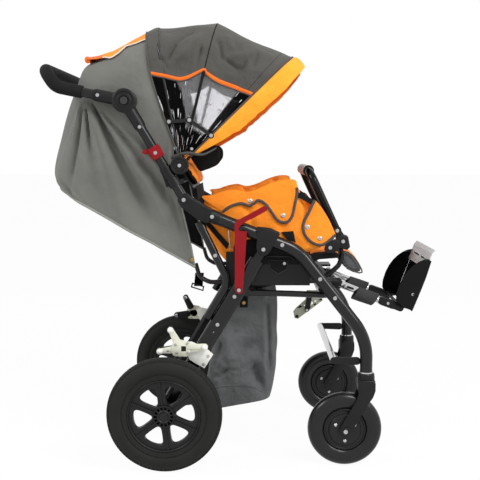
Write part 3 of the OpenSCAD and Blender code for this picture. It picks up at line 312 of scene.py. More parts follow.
metal, matt = {"Metallic": 1.0}, {"Specular IOR Level": 0.1, "Sheen Weight": 0.0}
satin = (0.34, 0.48)
grains = {  # slot, material, dark, light, grain, depth, patches, scuffs, roughness, fixed inputs
    "paint": ("black_tube", "blackPaint", "#0a0a0a", "#151515", 420, 1.2e-5, 9, 0.25, (0.16, 0.25),
              dull(0.34)),
    "plastic": ("black_plastic", "blackPlastic", "#0d0d0d", "#1b1b1b", 900, 5e-5, 10, 0.3, satin, dull(0.22)),
    "rimPlastic": ("black_plastic", "rimPlastic", "#121212", "#202020", 900, 5e-5, 10, 0.3, satin,
                   dull(0.24)),
    "gloss": ("black_plastic", "glossBlack", "#050505", "#0d0d0d", 300, 1e-5, 6, 0.4, (0.14, 0.26),
              dull(0.16)),
    "rubber": ("tyre", "tyreRubber", "#181817", "#292927", 520, 1e-4, 14, 0.2, (0.55, 0.74), dull(0.14)),
    "castorRubber": ("tyre", "castorRubber", "#0f0f0f", "#1c1c1b", 500, 3e-5, 10, 0.3, (0.22, 0.34),
                     dull(0.3)),
    "foam": ("foam", "gripFoam", "#0d0d0d", "#222222", 260, 5e-4, 30, 0.0, (0.7, 0.85), dull(0.12)),
    "steel": ("steel", "brightSteel", "#9a9a9a", "#d4d4d4", 1200, 1e-5, 60, 0.0, (0.22, 0.4), metal),
    "chrome": ("steel", "chromePlate", "#b4b4b6", "#dadadc", 300, 4e-6, 20, 0.0, (0.1, 0.24), metal),
    "alloy": ("alloy", "lightAlloy", "#b4b5b6", "#cfd0d1", 900, 3e-5, 12, 0.1, (0.32, 0.45)),
    "red": ("red", "redPaint", "#750c14", "#93111b", 500, 3e-5, 9, 0.1, (0.3, 0.42), dull(0.18)),
    "cream": ("cream", "creamPaint", "#cfcfba", "#e2e2d2", 600, 4e-5, 14, 0.1, (0.35, 0.5)),
    "white": ("white", "whitePlate", "#dcdcd4", "#f0f0ea", 600, 3e-5, 14, 0.1, (0.35, 0.5)),
    "sage": ("cream", "tiltPaint", "#a3a58f", "#bdbfaa", 600, 4e-5, 14, 0.1, (0.4, 0.55)),
    "sleeve": ("dark_sleeve", "sleeveFoam", "#2c2c2c", "#454545", 300, 3e-4, 40, 0.0, (0.7, 0.85),
               dull(0.12)),
    "cover": ("foam", "paleFoam", "#bdbab8", "#d6d3d1", 300, 5e-5, 30, 0.0, (0.65, 0.8)),
    "brass": ("steel", "brassSnap", "#8d6f3a", "#c9a766", 900, 1e-5, 60, 0.0, (0.25, 0.4), metal),
}
weaves = {  # slot, material, dark, light, rumples, their depth, threads, their depth, fixed inputs
    "greyCloth": ("grey_cloth", "hoodCloth", "#383734", "#575651", 8, 0.024),
    "drapeCloth": ("drape_cloth", "drapeCloth", "#5a5a56", "#7c7c77", 6, 0.02),
    "basketCloth": ("grey_cloth", "basketCloth", "#424344", "#656667", 7, 0.045),
    "orangeCloth": ("orange_cloth", "orangeCloth", "#f2770a", "#ffa02c", 11, 0.014),
    # the rim's orange is lighter and yellower than the seat's: partly its own colour, partly a painted
    # highlight
    "rimClothPaintedHighlight": ("orange_cloth", "rimClothPaintedHighlight", "#f6860c", "#ffb83c", 11, 0.014),
    "pipingCloth": ("orange_cloth", "orangePiping", "#d95a0c", "#f87a22", 30, 0.001),
    "whiteCloth": ("white", "whiteTape", "#dedad4", "#f4f2ee", 30, 0.001),
    "binding": ("black_cloth", "darkBinding", "#37322f", "#57514d", 40, 0.001),
    "hemTape": ("drape_cloth", "hemTape", "#74746f", "#9a9a95", 60, 0.0012),
    "blackCloth": ("black_cloth", "blackCloth", "#101010", "#232323", 10, 0.005, 5200, 0.00006, matt),
    "webbing": ("black_cloth", "blackWebbing", "#0c0c0c", "#212121", 20, 0.001, 2800, 0.0003, matt),
    "apronCloth": ("grey_cloth", "apronCloth", "#48494c", "#66676a", 12, 0.004),
}
slots = {key: row[0] for key, row in [*grains.items(), *weaves.items()]}
slots.update(film="window", filmGlint="window")
finishes = {key: grain(*row[1:]) for key, row in grains.items()}
finishes.update((key, weave(*row[1:])) for key, row in weaves.items())
# the second film is a bright, less clear sheet for painted glints
finishes.update(film=makeFilm("clearFilm", 0.91), filmGlint=makeFilm("paintedGlintFilm", 0.3, True))
print("finishes made:", len(finishes))


# modelling helpers
def meshFrom(name, shape):
    mesh = bpy.data.meshes.new(name)
    shape.to_mesh(mesh)
    shape.free()
    return mesh


def finalMesh(piece):
    return bpy.data.meshes.new_from_object(piece.evaluated_get(bpy.context.evaluated_depsgraph_get()))


def pour(shape, mesh):
    shape.from_mesh(mesh)
    bpy.data.meshes.remove(mesh)


def addPiece(name, shape, finish, body=None, stands=(), sharp=38, merge=1e-5):
    if merge:
        bmesh.ops.remove_doubles(shape, verts=shape.verts[:], dist=merge)
    bmesh.ops.recalc_face_normals(shape, faces=shape.faces[:])
    return addMesh(name, meshFrom(name, shape), finish, body, stands, sharp)


def addMesh(name, mesh, finish, body=None, stands=(), sharp=38):
    piece = bpy.data.objects.new(name, mesh)
    scene.collection.objects.link(piece)
    mesh.materials.clear()
    mesh.materials.append(finishes[finish])
    mesh.polygons.foreach_set("use_smooth", [True] * len(mesh.polygons))
    if sharp:
        mesh.set_sharp_from_angle(angle=math.radians(sharp))
    if body:
        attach(piece, body)
    if stands:
        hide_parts(*stands)
    return piece


def paintWhere(piece, finish, test):
    # a second finish on the faces that pass the test
    piece.data.materials.append(finishes[finish])
    for face in piece.data.polygons:
        if test(face.center, face.normal):
            face.material_index = len(piece.data.materials) - 1


def lineInside(piece, finish, count, middle):
    # a thickened sheet keeps its two sides one after the other
    polygons = piece.data.polygons
    rows = (range(count), range(count, 2 * count))
    far = [sum((polygons[k].center - middle).length for k in row) for row in rows]
    piece.data.materials.append(finishes[finish])
    for k in rows[0] if far[0] < far[1] else rows[1]:
        polygons[k].material_index = len(piece.data.materials) - 1


def vertsOf(geom):
    return [g for g in geom if isinstance(g, bmesh.types.BMVert)]


def bothSides(shape):
    copy = bmesh.ops.duplicate(shape, geom=shape.verts[:] + shape.edges[:] + shape.faces[:])["geom"]
    bmesh.ops.scale(shape, vec=(1, -1, 1), verts=vertsOf(copy))
    bmesh.ops.reverse_faces(shape, faces=[g for g in copy if isinstance(g, bmesh.types.BMFace)])


def build(name, finish, body, rows, stands=(), sharp=35, both=False, merge=1e-5):
    # a row is one of the helpers below and what it takes after the shape
    shape = bmesh.new()
    for make, *given in rows:
        make(shape, *given)
    if both:
        bothSides(shape)
    return addPiece(name, shape, finish, body, stands, sharp, merge)


def roundEdges(shape, faces, width, segments=2, least=35):
    edges = {e for f in faces for e in f.edges if e.calc_face_angle(0) > math.radians(least)}
    bmesh.ops.bevel(shape, geom=list(edges), offset=width, offset_type="OFFSET", segments=segments,
                    profile=0.5, affect="EDGES", material=-1, clamp_overlap=True)


def extrude(shape, faces, shift):
    grown = bmesh.ops.extrude_face_region(shape, geom=faces)["geom"]
    bmesh.ops.translate(shape, vec=shift, verts=vertsOf(grown))


def plate(shape, outline, y0, y1, edge=1.0, segments=2):
    before = set(shape.faces)
    base = shape.faces.new([shape.verts.new(spot(x, z, y0)) for x, z in outline])
    extrude(shape, [base], (0, (y1 - y0) / 1000, 0))
    faces = [f for f in shape.faces if f not in before]
    bmesh.ops.recalc_face_normals(shape, faces=faces)
    roundEdges(shape, faces, edge / 1000, segments)


def capsule(a, b, w0, w1, steps=8):
    # outline of a link with round ends
    a, b = Vector(a), Vector(b)
    d = (b - a).normalized()
    n = Vector((-d.y, d.x))
    turns = [math.pi * k / steps for k in range(steps + 1)]
    return [tuple(end + (n * math.cos(t) - d * math.sin(t)) * half)
            for end, half in ((a, w0 / 2), (b, -w1 / 2)) for t in turns]


def lathe(shape, profile, x, z, y, side=1, steps=48, tilt=None):
    # profile rows are (radius, outward); the axis runs along y unless tilt turns it
    before = set(shape.verts)
    rows = [shape.verts.new((max(r, 0.0) / 1000, side * out / 1000, 0)) for r, out in profile]
    edges = [shape.edges.new(pair) for pair in zip(rows, rows[1:])]
    bmesh.ops.spin(shape, geom=rows + edges, cent=(0, 0, 0), axis=(0, 1, 0), angle=2 * math.pi, steps=steps,
                   use_merge=True, use_duplicate=False)
    verts = [v for v in shape.verts if v not in before]
    place = Matrix.Translation(spot(x, z, y)) @ (tilt or Matrix.Identity(4))
    bmesh.ops.transform(shape, matrix=place, verts=verts)
    return verts


def aim(direction):
    # turns the lathe's y axis to a direction
    return Vector((0, 1, 0)).rotation_difference(Vector(direction)).to_matrix().to_4x4()


def roundPath(points, bends, steps=8):
    points = [Vector(p) for p in points]
    out = [points[0]]
    for i in range(1, len(points) - 1):
        u, w = (points[i] - points[i - 1]).normalized(), (points[i + 1] - points[i]).normalized()
        turn = u.angle(w)
        if turn < 0.01:
            out.append(points[i])
            continue
        bend = bends[i - 1] / 1000
        reach = bend * math.tan(turn / 2)
        n = (w - u * u.dot(w)).normalized()
        centre = points[i] - u * reach + n * bend
        for k in range(steps + 1):
            a = turn * k / steps
            out.append(centre - n * bend * math.cos(a) + u * bend * math.sin(a))
    return out + [points[-1]]


def pipe(shape, path, radius, sides=5, closed=False):
    curve = bpy.data.curves.new("pipe", "CURVE")
    curve.dimensions = "3D"
    spline = curve.splines.new("POLY")
    spline.points.add(len(path) - 1)
    for point, p in zip(spline.points, path):
        point.co = (*p, 1)
    spline.use_cyclic_u = closed
    curve.bevel_depth = radius / 1000
    curve.bevel_resolution = sides
    curve.use_fill_caps = not closed
    holder = bpy.data.objects.new("pipe", curve)
    scene.collection.objects.link(holder)
    pour(shape, finalMesh(holder))
    bpy.data.objects.remove(holder)
    bpy.data.curves.remove(curve)


def gridSheet(shape, across, along, place):
    for v in bmesh.ops.create_grid(shape, x_segments=across, y_segments=along, size=0.5)["verts"]:
        v.co = place(v.co.x + 0.5, v.co.y + 0.5)


def thicken(shape, thickness):
    bmesh.ops.recalc_face_normals(shape, faces=shape.faces[:])
    bmesh.ops.solidify(shape, geom=shape.faces[:], thickness=thickness / 1000)


def strap(shape, path, width, across, thickness=1.6):
    # flat webbing along a path; across is its width direction
    side = Vector(across).normalized() * width / 2000
    count = len(path) - 1

    def place(u, v):
        k = min(int(u * count + 1e-6), count - 1)
        return mix(path[k], path[k + 1], u * count - k) + side * (2 * v - 1)

    before = set(shape.faces)
    gridSheet(shape, count, 2, place)
    faces = [f for f in shape.faces if f not in before]
    bmesh.ops.solidify(shape, geom=faces, thickness=thickness / 1000)


def boltSet(name, places, body, radius, height, finish="steel", stands=(), both=True):
    # places are (x, z, y); a head points away from the middle
    rows = [(radius, 0), (radius, height * 0.35), (radius * 0.86, height * 0.8), (radius * 0.55, height),
            (radius * 0.42, height), (radius * 0.36, height * 0.5), (0, height * 0.5)]
    places = places + [(x, z, -y) for x, z, y in places if both]
    build(name, finish, body, [(lathe, rows, x, z, y, math.copysign(1, y), 18) for x, z, y in places],
          stands, 38)


# camera, floor and light
view = {"lens": 59.05, "place": (0.0285, -2.3298, 0.8535), "down": 6.27, "turn": 0.9146}
cameraData = bpy.data.cameras.new("photoCamera")
cameraData.lens = view["lens"]
cameraData.sensor_width = 36
camera = bpy.data.objects.new("photoCamera", cameraData)
camera.location = view["place"]
camera.rotation_euler = (math.radians(90 - view["down"]), 0, math.radians(view["turn"]))
scene.collection.objects.link(camera)
scene.camera = camera
scene.view_settings.view_transform = "Standard"

stageSet = {"world": 0.6, "floor": 0.9, "floorGlow": 0.95}


def seenDirectly(tree):
    path = tree.nodes.new("ShaderNodeLightPath")
    seen = calc(tree, "MAXIMUM", path.outputs["Is Camera Ray"], path.outputs["Is Glossy Ray"])
    return calc(tree, "MAXIMUM", seen, path.outputs["Is Transmission Ray"])


world = bpy.data.worlds.new("studio")
scene.world = world
world.use_nodes = True
sky = world.node_tree
backdrop = sky.nodes["Background"]
backdrop.inputs["Color"].default_value = (1, 1, 1, 1)
sky.links.new(calc(sky, "ADD", calc(sky, "MULTIPLY", seenDirectly(sky), 1 - stageSet["world"]),
                   stageSet["world"]),
              backdrop.inputs["Strength"])

floorShape = bmesh.new()
bmesh.ops.create_grid(floorShape, x_segments=1, y_segments=1, size=30)
floorMesh = meshFrom("floor", floorShape)
floor = bpy.data.objects.new("floor", floorMesh)
scene.collection.objects.link(floor)
floorFinish, tree, base = newMaterial("paleFloor")
base.inputs["Base Color"].default_value = (stageSet["floor"],) * 3 + (1,)
base.inputs["Roughness"].default_value = 0.9
base.inputs["Specular IOR Level"].default_value = 0.0
glow = tree.nodes.new("ShaderNodeEmission")
glow.inputs["Strength"].default_value = 1.0
blendFloor = tree.nodes.new("ShaderNodeMixShader")
tree.links.new(calc(tree, "MULTIPLY", seenDirectly(tree), stageSet["floorGlow"]), blendFloor.inputs[0])
tree.links.new(base.outputs[0], blendFloor.inputs[1])
tree.links.new(glow.outputs[0], blendFloor.inputs[2])
tree.links.new(blendFloor.outputs[0], tree.nodes["Material Output"].inputs["Surface"])
floorMesh.materials.append(floorFinish)


def lamp(name, place, target, size, watts):
    data = bpy.data.lights.new(name, "AREA")
    data.size = size
    data.energy = watts
    lampObject = bpy.data.objects.new(name, data)
    lampObject.location = place
    lampObject.rotation_euler = (Vector(target) - Vector(place)).to_track_quat("-Z", "Y").to_euler()
    scene.collection.objects.link(lampObject)


lamp("railLamp", (1.3, -1.6, 2.6), (0.0, 0.0, 0.6), 0.9, 44)
lamp("backLamp", (2.5, -1.4, 1.9), (0.0, 0.0, 0.7), 0.9, 28)
lamp("legLamp", (-2.3, -0.9, 2.2), (0.0, 0.0, 0.7), 0.9, 34)
print("camera and light set")

# rigid CAD nodes keep their shape and take a finish
keptNodes = {
    "paint": ["front_legs", "lower_bars", "cross_tubes", "rear_legs", "struts", "back_tubes", "back_cross",
              "handle_tube", "rear_bow", "middle_bow", "front_bow"],
    "plastic": ["hood_brackets", "seat_floor", "back_board"],
    "sleeve": ["button_R", "button_L"],
    "red": ["lock_lever_R", "lock_lever_L"],
    "steel": ["rear_axle"],
    "gloss": ["bumper_bar"],
}
for finish, names in keptNodes.items():
    for name in names:
        mesh = nodes[name].data
        mesh.materials.clear()
        mesh.materials.append(finishes[finish])

# hood
hoodSet = {
    "pivot": (42.34, 821.89),
    # bow tops: rear seam, rear bow, second seam, middle bow, front bow
    "tops": [(0.0, (-53, 1178, 198)), (0.18, (-29, 1190, 198)), (0.25, (-20, 1191, 197.6)),
             (1.0, (139, 1203, 189.2)), (2.0, (345, 1112, 180.4))],
    "piping": [(43.9, (270,)), (51.4, (257,)), (62.9, (246,)), (69.5, (248,)), (74.3, (255,)), (75.3, (261,)),
               (76.6, (259,)), (80.0, (248,)), (84.5, (235,)), (89.5, (229,)), (95.0, (233,)),
               (100.5, (242,)), (107.5, (257,))],  # angle about the pivot, distance from it
    "off": 4.6, "bend": 84, "windowLow": 34,
    "bulge": [(34, 0), (120, 9), (200, 14), (262, 15), (320, 7), (365, 0)],  # the rear seam's curve
    "creases": [((-18, 1182), (-12, 1112), 4.8, -4.6), ((-12, 1112), (18, 1062), 5.6, -8.05),
                ((84, 1187), (37, 1150), 7.2, -6.9), ((37, 1150), (2, 1092), 7.2, -9.2),
                ((102, 1173), (26, 1088), 9.6, 6.9), ((99, 1139), (83, 1083), 6.4, -8.05),
                ((143, 1160), (154, 1098), 8, -9.2), ((168, 1168), (181, 1130), 7.2, 6.9),
                ((160, 1104), (199, 1073), 7.2, -8.05), ((221, 1102), (192, 1058), 7.2, -8.05),
                ((180, 1112), (244, 1122), 8.8, 5.75), ((250, 1128), (236, 1080), 7.2, -5.75)],
    "sag": -1.8, "wrinkle": 5.0,  # creases: upper end, lower end, width, depth
    "grid": (150, 56), "windowGrid": (76, 130), "seamSteps": 90,
}


def hoodFrame(t):
    # direction, length and half width of the bow at t
    x, z, w = lerp(hoodSet["tops"], t)
    px, pz = hoodSet["pivot"]
    dx, dz = x - px, z - pz
    length = math.hypot(dx, dz)
    return dx / length, dz / length, length + hoodSet["off"], w + hoodSet["off"]


def hoodAngle(t):
    dx, dz = hoodFrame(t)[:2]
    return math.degrees(math.atan2(dz, dx))


def windowTop(t):
    return glide(hoodSet["piping"], hoodAngle(t))[0]


def rearBulge(t, r):
    return lerp(hoodSet["bulge"], r) * max(0.0, 1 - t / 0.25)


def onHood(t, r, y, out=1.0):
    # a place at distance r from the pivot, along the bow at t
    dx, dz = hoodFrame(t)[:2]
    px, pz = hoodSet["pivot"]
    return spot(px + dx * r - rearBulge(t, r) * out, pz + dz * r, y)


def archLength(start, length, half, bend):
    return 2 * (length - bend - start) + math.pi * bend + 2 * (half - bend)


def arch(u, start, length, half, bend):
    # up one side, round the bend, over the top and down again
    leg, arcLen, whole = length - bend - start, bend * math.pi / 2, archLength(start, length, half, bend)
    s, flip = u * whole, -1
    if s > whole / 2:
        s, flip = whole - s, 1
    if s < leg:
        return s, flip, half, start + s, 1.0, 0.0
    if s < leg + arcLen:
        a = (s - leg) / bend
        ny, nr = math.cos(a), math.sin(a)
        return s, flip, half - bend + bend * ny, length - bend + bend * nr, ny, nr
    return s, flip, half - bend - (s - leg - arcLen), length, 0.0, 1.0


def hoodPoint(t, u, extra=0.0, low=None):
    # u runs from the near piping over the top to the far one
    length, w = hoodFrame(t)[2:]
    s, flip, y, r, ny, nr = arch(u, windowTop(t) if low is None else low, length, w, hoodSet["bend"])
    return onHood(t, r + nr * extra, flip * (y + ny * extra), ny)


def ridge(at, high, low, wide):
    # a bump along the line from high to low that fades at its ends
    a, b = Vector(high), Vector(low)
    run = (at - a).dot(b - a) / (b - a).length_squared
    return math.exp(-((at - a.lerp(b, clamp(run))).length / wide) ** 2) * clamp(2 * (1.15 - abs(2 * run - 1)))


def creased(rows, at):
    return sum(depth * ridge(at, high, low, wide) for high, low, wide, depth in rows)


def hoodSag(t, u):
    # taut cloth sinks between the bows, with creases running down to the piping's dip
    between = math.sin(math.pi * (t % 1.0)) if t > 0.25 else 0.0
    p = hoodPoint(t, u)
    crease = hoodSet["wrinkle"] * (ripple(p, 9, 3.0) + ripple((p.x * 0.5 + p.z, p.y, p.z * 0.3), 26, 8.0))
    named = creased(hoodSet["creases"], Vector(drawn(p)))
    # on the sides, clear of the piping
    named *= clamp(min((abs(p.y) - 0.1) / 0.06, 14 * min(u, 1 - u) - 0.28))
    return between * (hoodSet["sag"] + crease) + named + 0.5 * ripple(p, 40)


def hoodPanel(name, t0, t1, stands):
    def place(u, v):
        t = mix(t0, t1, v)
        return hoodPoint(t, u, hoodSag(t, u))

    across, along = hoodSet["grid"]
    piece = build(name, "greyCloth", None, [(gridSheet, across, along, place), (thicken, 1.4)], stands, 60,
                  merge=0)
    lineInside(piece, "blackCloth", across * along, spot(90, 1000))
    return piece


def isPaintedGlint(at, out):
    # painted glints: the faces that take the bright film, close together where the sheet is crumpled at its
    # rear and foot
    dx, dz = at.x - filmSet["pivot"][0], at.z - filmSet["pivot"][1]
    reach, angle = math.hypot(dx, dz), math.atan2(dz, dx)
    rear = clamp((angle - filmSet["lean"] * reach - 1.1) / 0.2)
    foot = clamp((0.14 - reach) / 0.04)
    front = clamp((0.93 - angle) / 0.05, 0.8)
    streak = noise.noise(Vector((angle * 62, reach * 24, at.y * 20)))
    clump = noise.noise(Vector((angle * 14, reach * 26, 3.0)))
    return streak + 0.6 * clump > mix(0.95, 0.54, max(rear, foot, front))


def hoodWindow(name, t0, t1, stands):
    shape = bmesh.new()
    for side in (-1, 1):
        def place(u, v):
            t = mix(t0, t1, v)
            p = onHood(t, mix(hoodSet["windowLow"], windowTop(t) + 2, u), side * hoodFrame(t)[3])
            edge = min(1.0, 6 * min(v, 1 - v)) * min(1.0, 5 * (1 - u) + 0.1)
            pull = (ripple((p.x, p.z * 0.6, 0), 30, 2.0 * side) * 2.6 + ripple(p, 75, 5.0) * 1.1 - 2.0) * edge
            return p + Vector((0, side * pull / 1000, 0))

        gridSheet(shape, *hoodSet["windowGrid"], place)
    thicken(shape, 0.6)
    piece = addPiece(name, shape, "film", None, stands, 60, 0)
    # painted glints: bright film on the faces that pass the test
    paintWhere(piece, "filmGlint", isPaintedGlint)
    return piece


def bowMiddle(t, share=0.7):
    return onHood(t, hoodFrame(t)[2] * share, 0.0, 0.0)


hoodRear = hoodPanel("hoodRear", 0.0, 1.0, ["hood_rear"])
hoodFront = hoodPanel("hoodFront", 1.0, 2.0, ["hood_front"])
windowRear = hoodWindow("windowRear", 0.0, 1.0, ["rear_windows"])
windowFront = hoodWindow("windowFront", 1.0, 2.0, ["front_windows"])
rearBodies = ("back", "canopy_mid", bowMiddle(0.2), bowMiddle(1.0))
frontBodies = ("canopy_mid", "canopy_front", bowMiddle(1.0), bowMiddle(2.0))
for piece, bodies in ((hoodRear, rearBodies), (windowRear, rearBodies), (hoodFront, frontBodies),
                      (windowFront, frontBodies)):
    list(bodies)
    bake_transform(piece)


def seamLine(name, t, radius, finish, body, low=None, extra=1.2):
    steps = [k / hoodSet["seamSteps"] for k in range(hoodSet["seamSteps"] + 1)]
    path = [hoodPoint(t, u, extra + (hoodSag(t, u) if low is None else 0.0), low) for u in steps]
    build(name, finish, body, [(pipe, path, radius, 3)], (), 38)


seamLine("seamRear", 0.004, 2.4, "greyCloth", "back", 34)
seamLine("seamChannel", 0.25, 1.5, "blackCloth", "back", None, 0.0)
seamLine("seamMiddle", 1.0, 2.0, "blackCloth", "canopy_mid", 112, 0.0)
seamLine("seamBand", 1.85, 1.3, "blackCloth", "canopy_front", None, 0.3)
sleeveOut = hoodFrame(1.0)[3] + 0.6
build("bowSleeves", "blackCloth", "canopy_mid",
      [(pipe, [onHood(1.0, r, side * sleeveOut) for r in (112, 150, 190, windowTop(1.0) - 4)], 4.0, 5)
       for side in (-1, 1)], (), 40)
seamLine("seamFront", 1.985, 3.4, "binding", "canopy_front", 34, 1.0)


def pipingLine(name, t0, t1):
    # orange band along the window's top with a dark cord under it
    for finish, low, high, proud in (("pipingCloth", -4, 7, 2.0), ("binding", -7.5, -3.5, 1.7)):
        shape = bmesh.new()
        for side in (-1, 1):
            def place(u, v):
                t = mix(t0, t1, u)
                y = hoodFrame(t)[3] + proud * (1 - (2 * v - 1) ** 2) + 0.4 + min(0.0, hoodSag(t, 0.02)) * 0.6
                return onHood(t, windowTop(t) + mix(low, high, v), side * y)

            gridSheet(shape, 60, 6, place)
        thicken(shape, 1.0)
        band = addPiece(name + finish, shape, finish, None, (), 60, 0)
        paintWhere(band, "blackCloth", lambda at, out: out.y * at.y < 0)
        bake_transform(band)


pipingLine("windowTopRear", 0.0, 1.0)
pipingLine("windowTopFront", 1.0, 1.985)

rimSet = {"width": [(45, 5), (59, 10), (106, 24), (185, 43), (257, 46), (344, 49), (405, 43), (460, 34)],
          "thick": 9.0, "start": 44, "grid": (150, 28)}
rimAhead = Vector((hoodFrame(2.0)[1], 0, -hoodFrame(2.0)[0]))


def rimPoint(u, v):
    p = hoodPoint(2.0, u, 0.0, rimSet["start"])
    out = (hoodPoint(2.0, u, 10.0, rimSet["start"]) - p).normalized()
    r = (Vector(drawn(p)) - Vector(hoodSet["pivot"])).length
    wide = lerp(rimSet["width"], r) if abs(p.y) >= 0.09 else rimSet["width"][-1][1]
    ends = min(1.0, 7 * min(u, 1 - u))
    lower = max(0.0, 1 - abs(r - 190) / 110)  # a few ruffles half way down the sides
    ruffle = ripple((u * 3, 0, 0), 10, 1.0) * 1.6 + ripple((u * 3, 0, 0), 20, 4.0) * 6.5 * lower
    a = 2 * math.pi * v
    reach = 0.5 - 0.5 * math.cos(a)
    along = wide * reach + ruffle * reach ** 2 * ends
    puff = rimSet["thick"] * (0.35 + 0.65 * ends) * math.sin(a) * (0.72 + 0.28 * math.cos(a))
    puff *= 1 + 0.25 * ripple((u * 3, v, 0), 12, 9.0)
    lean = 0.16 * along * out.z  # the top edge tips upwards
    return p + rimAhead * along / 1000 + out * (puff + lean + 2.0) / 1000


shape = bmesh.new()
gridSheet(shape, *rimSet["grid"], rimPoint)
bmesh.ops.remove_doubles(shape, verts=shape.verts[:], dist=2e-5)
bmesh.ops.holes_fill(shape, edges=shape.edges[:], sides=0)
# rim in the lighter orange, partly a painted highlight
rim = addPiece("hoodRim", shape, "rimClothPaintedHighlight", "canopy_front", (), 60, 0)
rimMiddle = bowMiddle(2.0, 0.6)
# painted shade: the rim's inward faces take the darker orange
paintWhere(rim, "pipingCloth", lambda at, out: out.dot((at - rimMiddle).normalized()) < -0.3)
bandSet = {"line": [(0.0, (20, 846)), (0.2, (42, 853)), (0.4, (66, 856)), (0.6, (88, 852)),
                    (0.75, (104, 852)), (0.9, (124, 861)), (1.0, (138, 869))], "deep": 10}
shape = bmesh.new()
for side in (-1, 1):
    def bandPoint(u, v):
        x, z = glide(bandSet["line"], u)
        y = lerp([(0, 204.2), (142, 193.2)], x) + 2.2 * math.sin(math.pi * v) + 1.0 * math.sin(u * 26) * v
        return spot(x, z - bandSet["deep"] * (v - 0.35) * (1 - 0.5 * u), side * y)

    gridSheet(shape, 40, 8, bandPoint)
thicken(shape, 1.6)
binding = addPiece("windowBinding", shape, "greyCloth", None, (), 60, 0)
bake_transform(binding)
boltSet("hoodSnaps", [(28, 868, 203.0)], "back", 4.5, 2.5)
boltSet("hoodSnapsMid", [(72, 866, 198.6)], "canopy_mid", 4.5, 2.5)

# stays over the windows, flat so that they fold clear of the film, on pins to the bows
staySet = {"ends": [(12, 938, 203.6), (67, 942, 205.0), (125, 901, 190.5)], "y": (206.2, 208.7), "thick": 2.2,
           "wide": 9.5, "disc": 8.0, "pin": 3.2}
for name, node, body, k in (("stayRear", "rear_stays", "stay_rear", 0),
                            ("stayFront", "front_stays", "stay_front", 1)):
    ends = staySet["ends"][k:k + 2]
    y, half, disc, pin = staySet["y"][k], staySet["thick"] / 2, staySet["disc"], staySet["pin"]
    rows = [(plate, capsule(ends[0][:2], ends[1][:2], staySet["wide"], staySet["wide"]),
             y - half, y + half, 0.5)]
    for x, z, foot in ends:
        rows += [(lathe, [(0, -1.2), (disc, -1.2), (disc, 0.7), (disc - 0.6, 1.2), (0, 1.2)], x, z, y, 1, 28),
                 (lathe, [(0, 0), (pin, 0), (pin, y - foot), (0, y - foot)], x, z, foot, 1, 16)]
    build(name, "paint", body, rows, [node], 35, True)
boltSet("rearRivets", [(12, 938, 207.3)], "stay_rear", 5.4, 2.2)
boltSet("frontRivets", [(67, 942, 209.8), (125, 901, 209.8)], "stay_front", 5.4, 2.2)
print("hood made")

# drape
drapeSet = {
    "back": [(0.0, (-52, 1182)), (0.12, (-112, 1149)), (0.25, (-180, 1115)), (0.34, (-226, 1089)),
             (0.42, (-248, 1044)), (0.55, (-274, 975)), (0.7, (-300, 886)), (0.84, (-317, 808)),
             (0.92, (-309, 780)), (1.0, (-297, 757))],
    "foot": [(0.0, (27, 871)), (0.2, (22, 842)), (0.35, (23, 818)), (0.55, (38, 735)), (0.8, (64, 625)),
             (1.0, (79, 545))],
    "half": 202.5, "bend": 90, "fan": (-212, 1022),
    "folds": [(-108, 3.5, 6, 60, 400), (-101, 2.6, -10, 40, 330), (-94, 2.6, 7, 60, 330),
              (-87, 1.9, -11, 75, 170), (-81, 3.0, 8, 60, 330), (-73, 4.0, 8, 90, 520),
              (-64.5, 4.2, -20, 60, 480), (-57, 3.2, 9, 120, 520), (-51, 2.2, -7, 150, 520),
              (-46, 2.4, 5, 200, 520)],
    "grid": (180, 90),
}  # folds: angle at the handle, width, depth, where it starts and ends


def drapeFold(x, z):
    fx, fz = drapeSet["fan"]
    away = math.hypot(x - fx, z - fz)
    angle = math.degrees(math.atan2(z - fz, x - fx))
    deep = 0.0
    for at, width, depth, start, end in drapeSet["folds"]:
        shown = clamp((away - start * 0.4) / (start * 0.6)) * clamp((end - away) / (end * 0.35))
        deep += depth * math.exp(-((angle - at) / width) ** 2) * shown
    return deep


def drapeFrame(v):
    f, b = glide(drapeSet["foot"], v), glide(drapeSet["back"], v)
    dx, dz = b[0] - f[0], b[1] - f[1]
    length = math.hypot(dx, dz)
    return f, dx / length, dz / length, length, min(drapeSet["bend"], length / 2.2)


def drapePoint(u, v, extra=0.0):
    f, dx, dz, length, bend = drapeFrame(v)
    s, flip, y, r, ny, nr = arch(u, 0, length, drapeSet["half"], bend)
    x, z = f[0] + dx * r, f[1] + dz * r
    free = clamp((v - 0.12) * 3) * min(1.0, s / 60 + 0.15)
    push = 1.3 * drapeFold(x, z) * free + 4.0 * ripple((x / 1000, flip * y / 1000, z / 1000), 10, 6.0) * free
    push -= 3.0 * math.sin(s / 9 + 3 * v) ** 2 * math.exp(-s / 45) * clamp((v - 0.05) * 8)
    corner = length - bend + bend * math.pi * 0.2  # where the low edge puckers
    pucker = max(0.0, 1 - abs(v - 0.93) / 0.09) * max(0.0, 1 - abs(s - corner) / 70)
    push += pucker * 6 * math.sin(s * 0.16 + v * 26)
    if ny > 0.9:
        push = min(push, lerp([(0, 4), (60, 5), (130, 14)], s))  # the back tubes stand close outside
    y, r = y + ny * (push + extra), r + nr * (push + extra)
    reach = math.hypot(x - hoodSet["pivot"][0], z - hoodSet["pivot"][1])
    pull = lerp(hoodSet["bulge"], reach) * max(0.0, 1 - v / 0.2) * ny
    return spot(f[0] + dx * r - pull, f[1] + dz * r, flip * y)


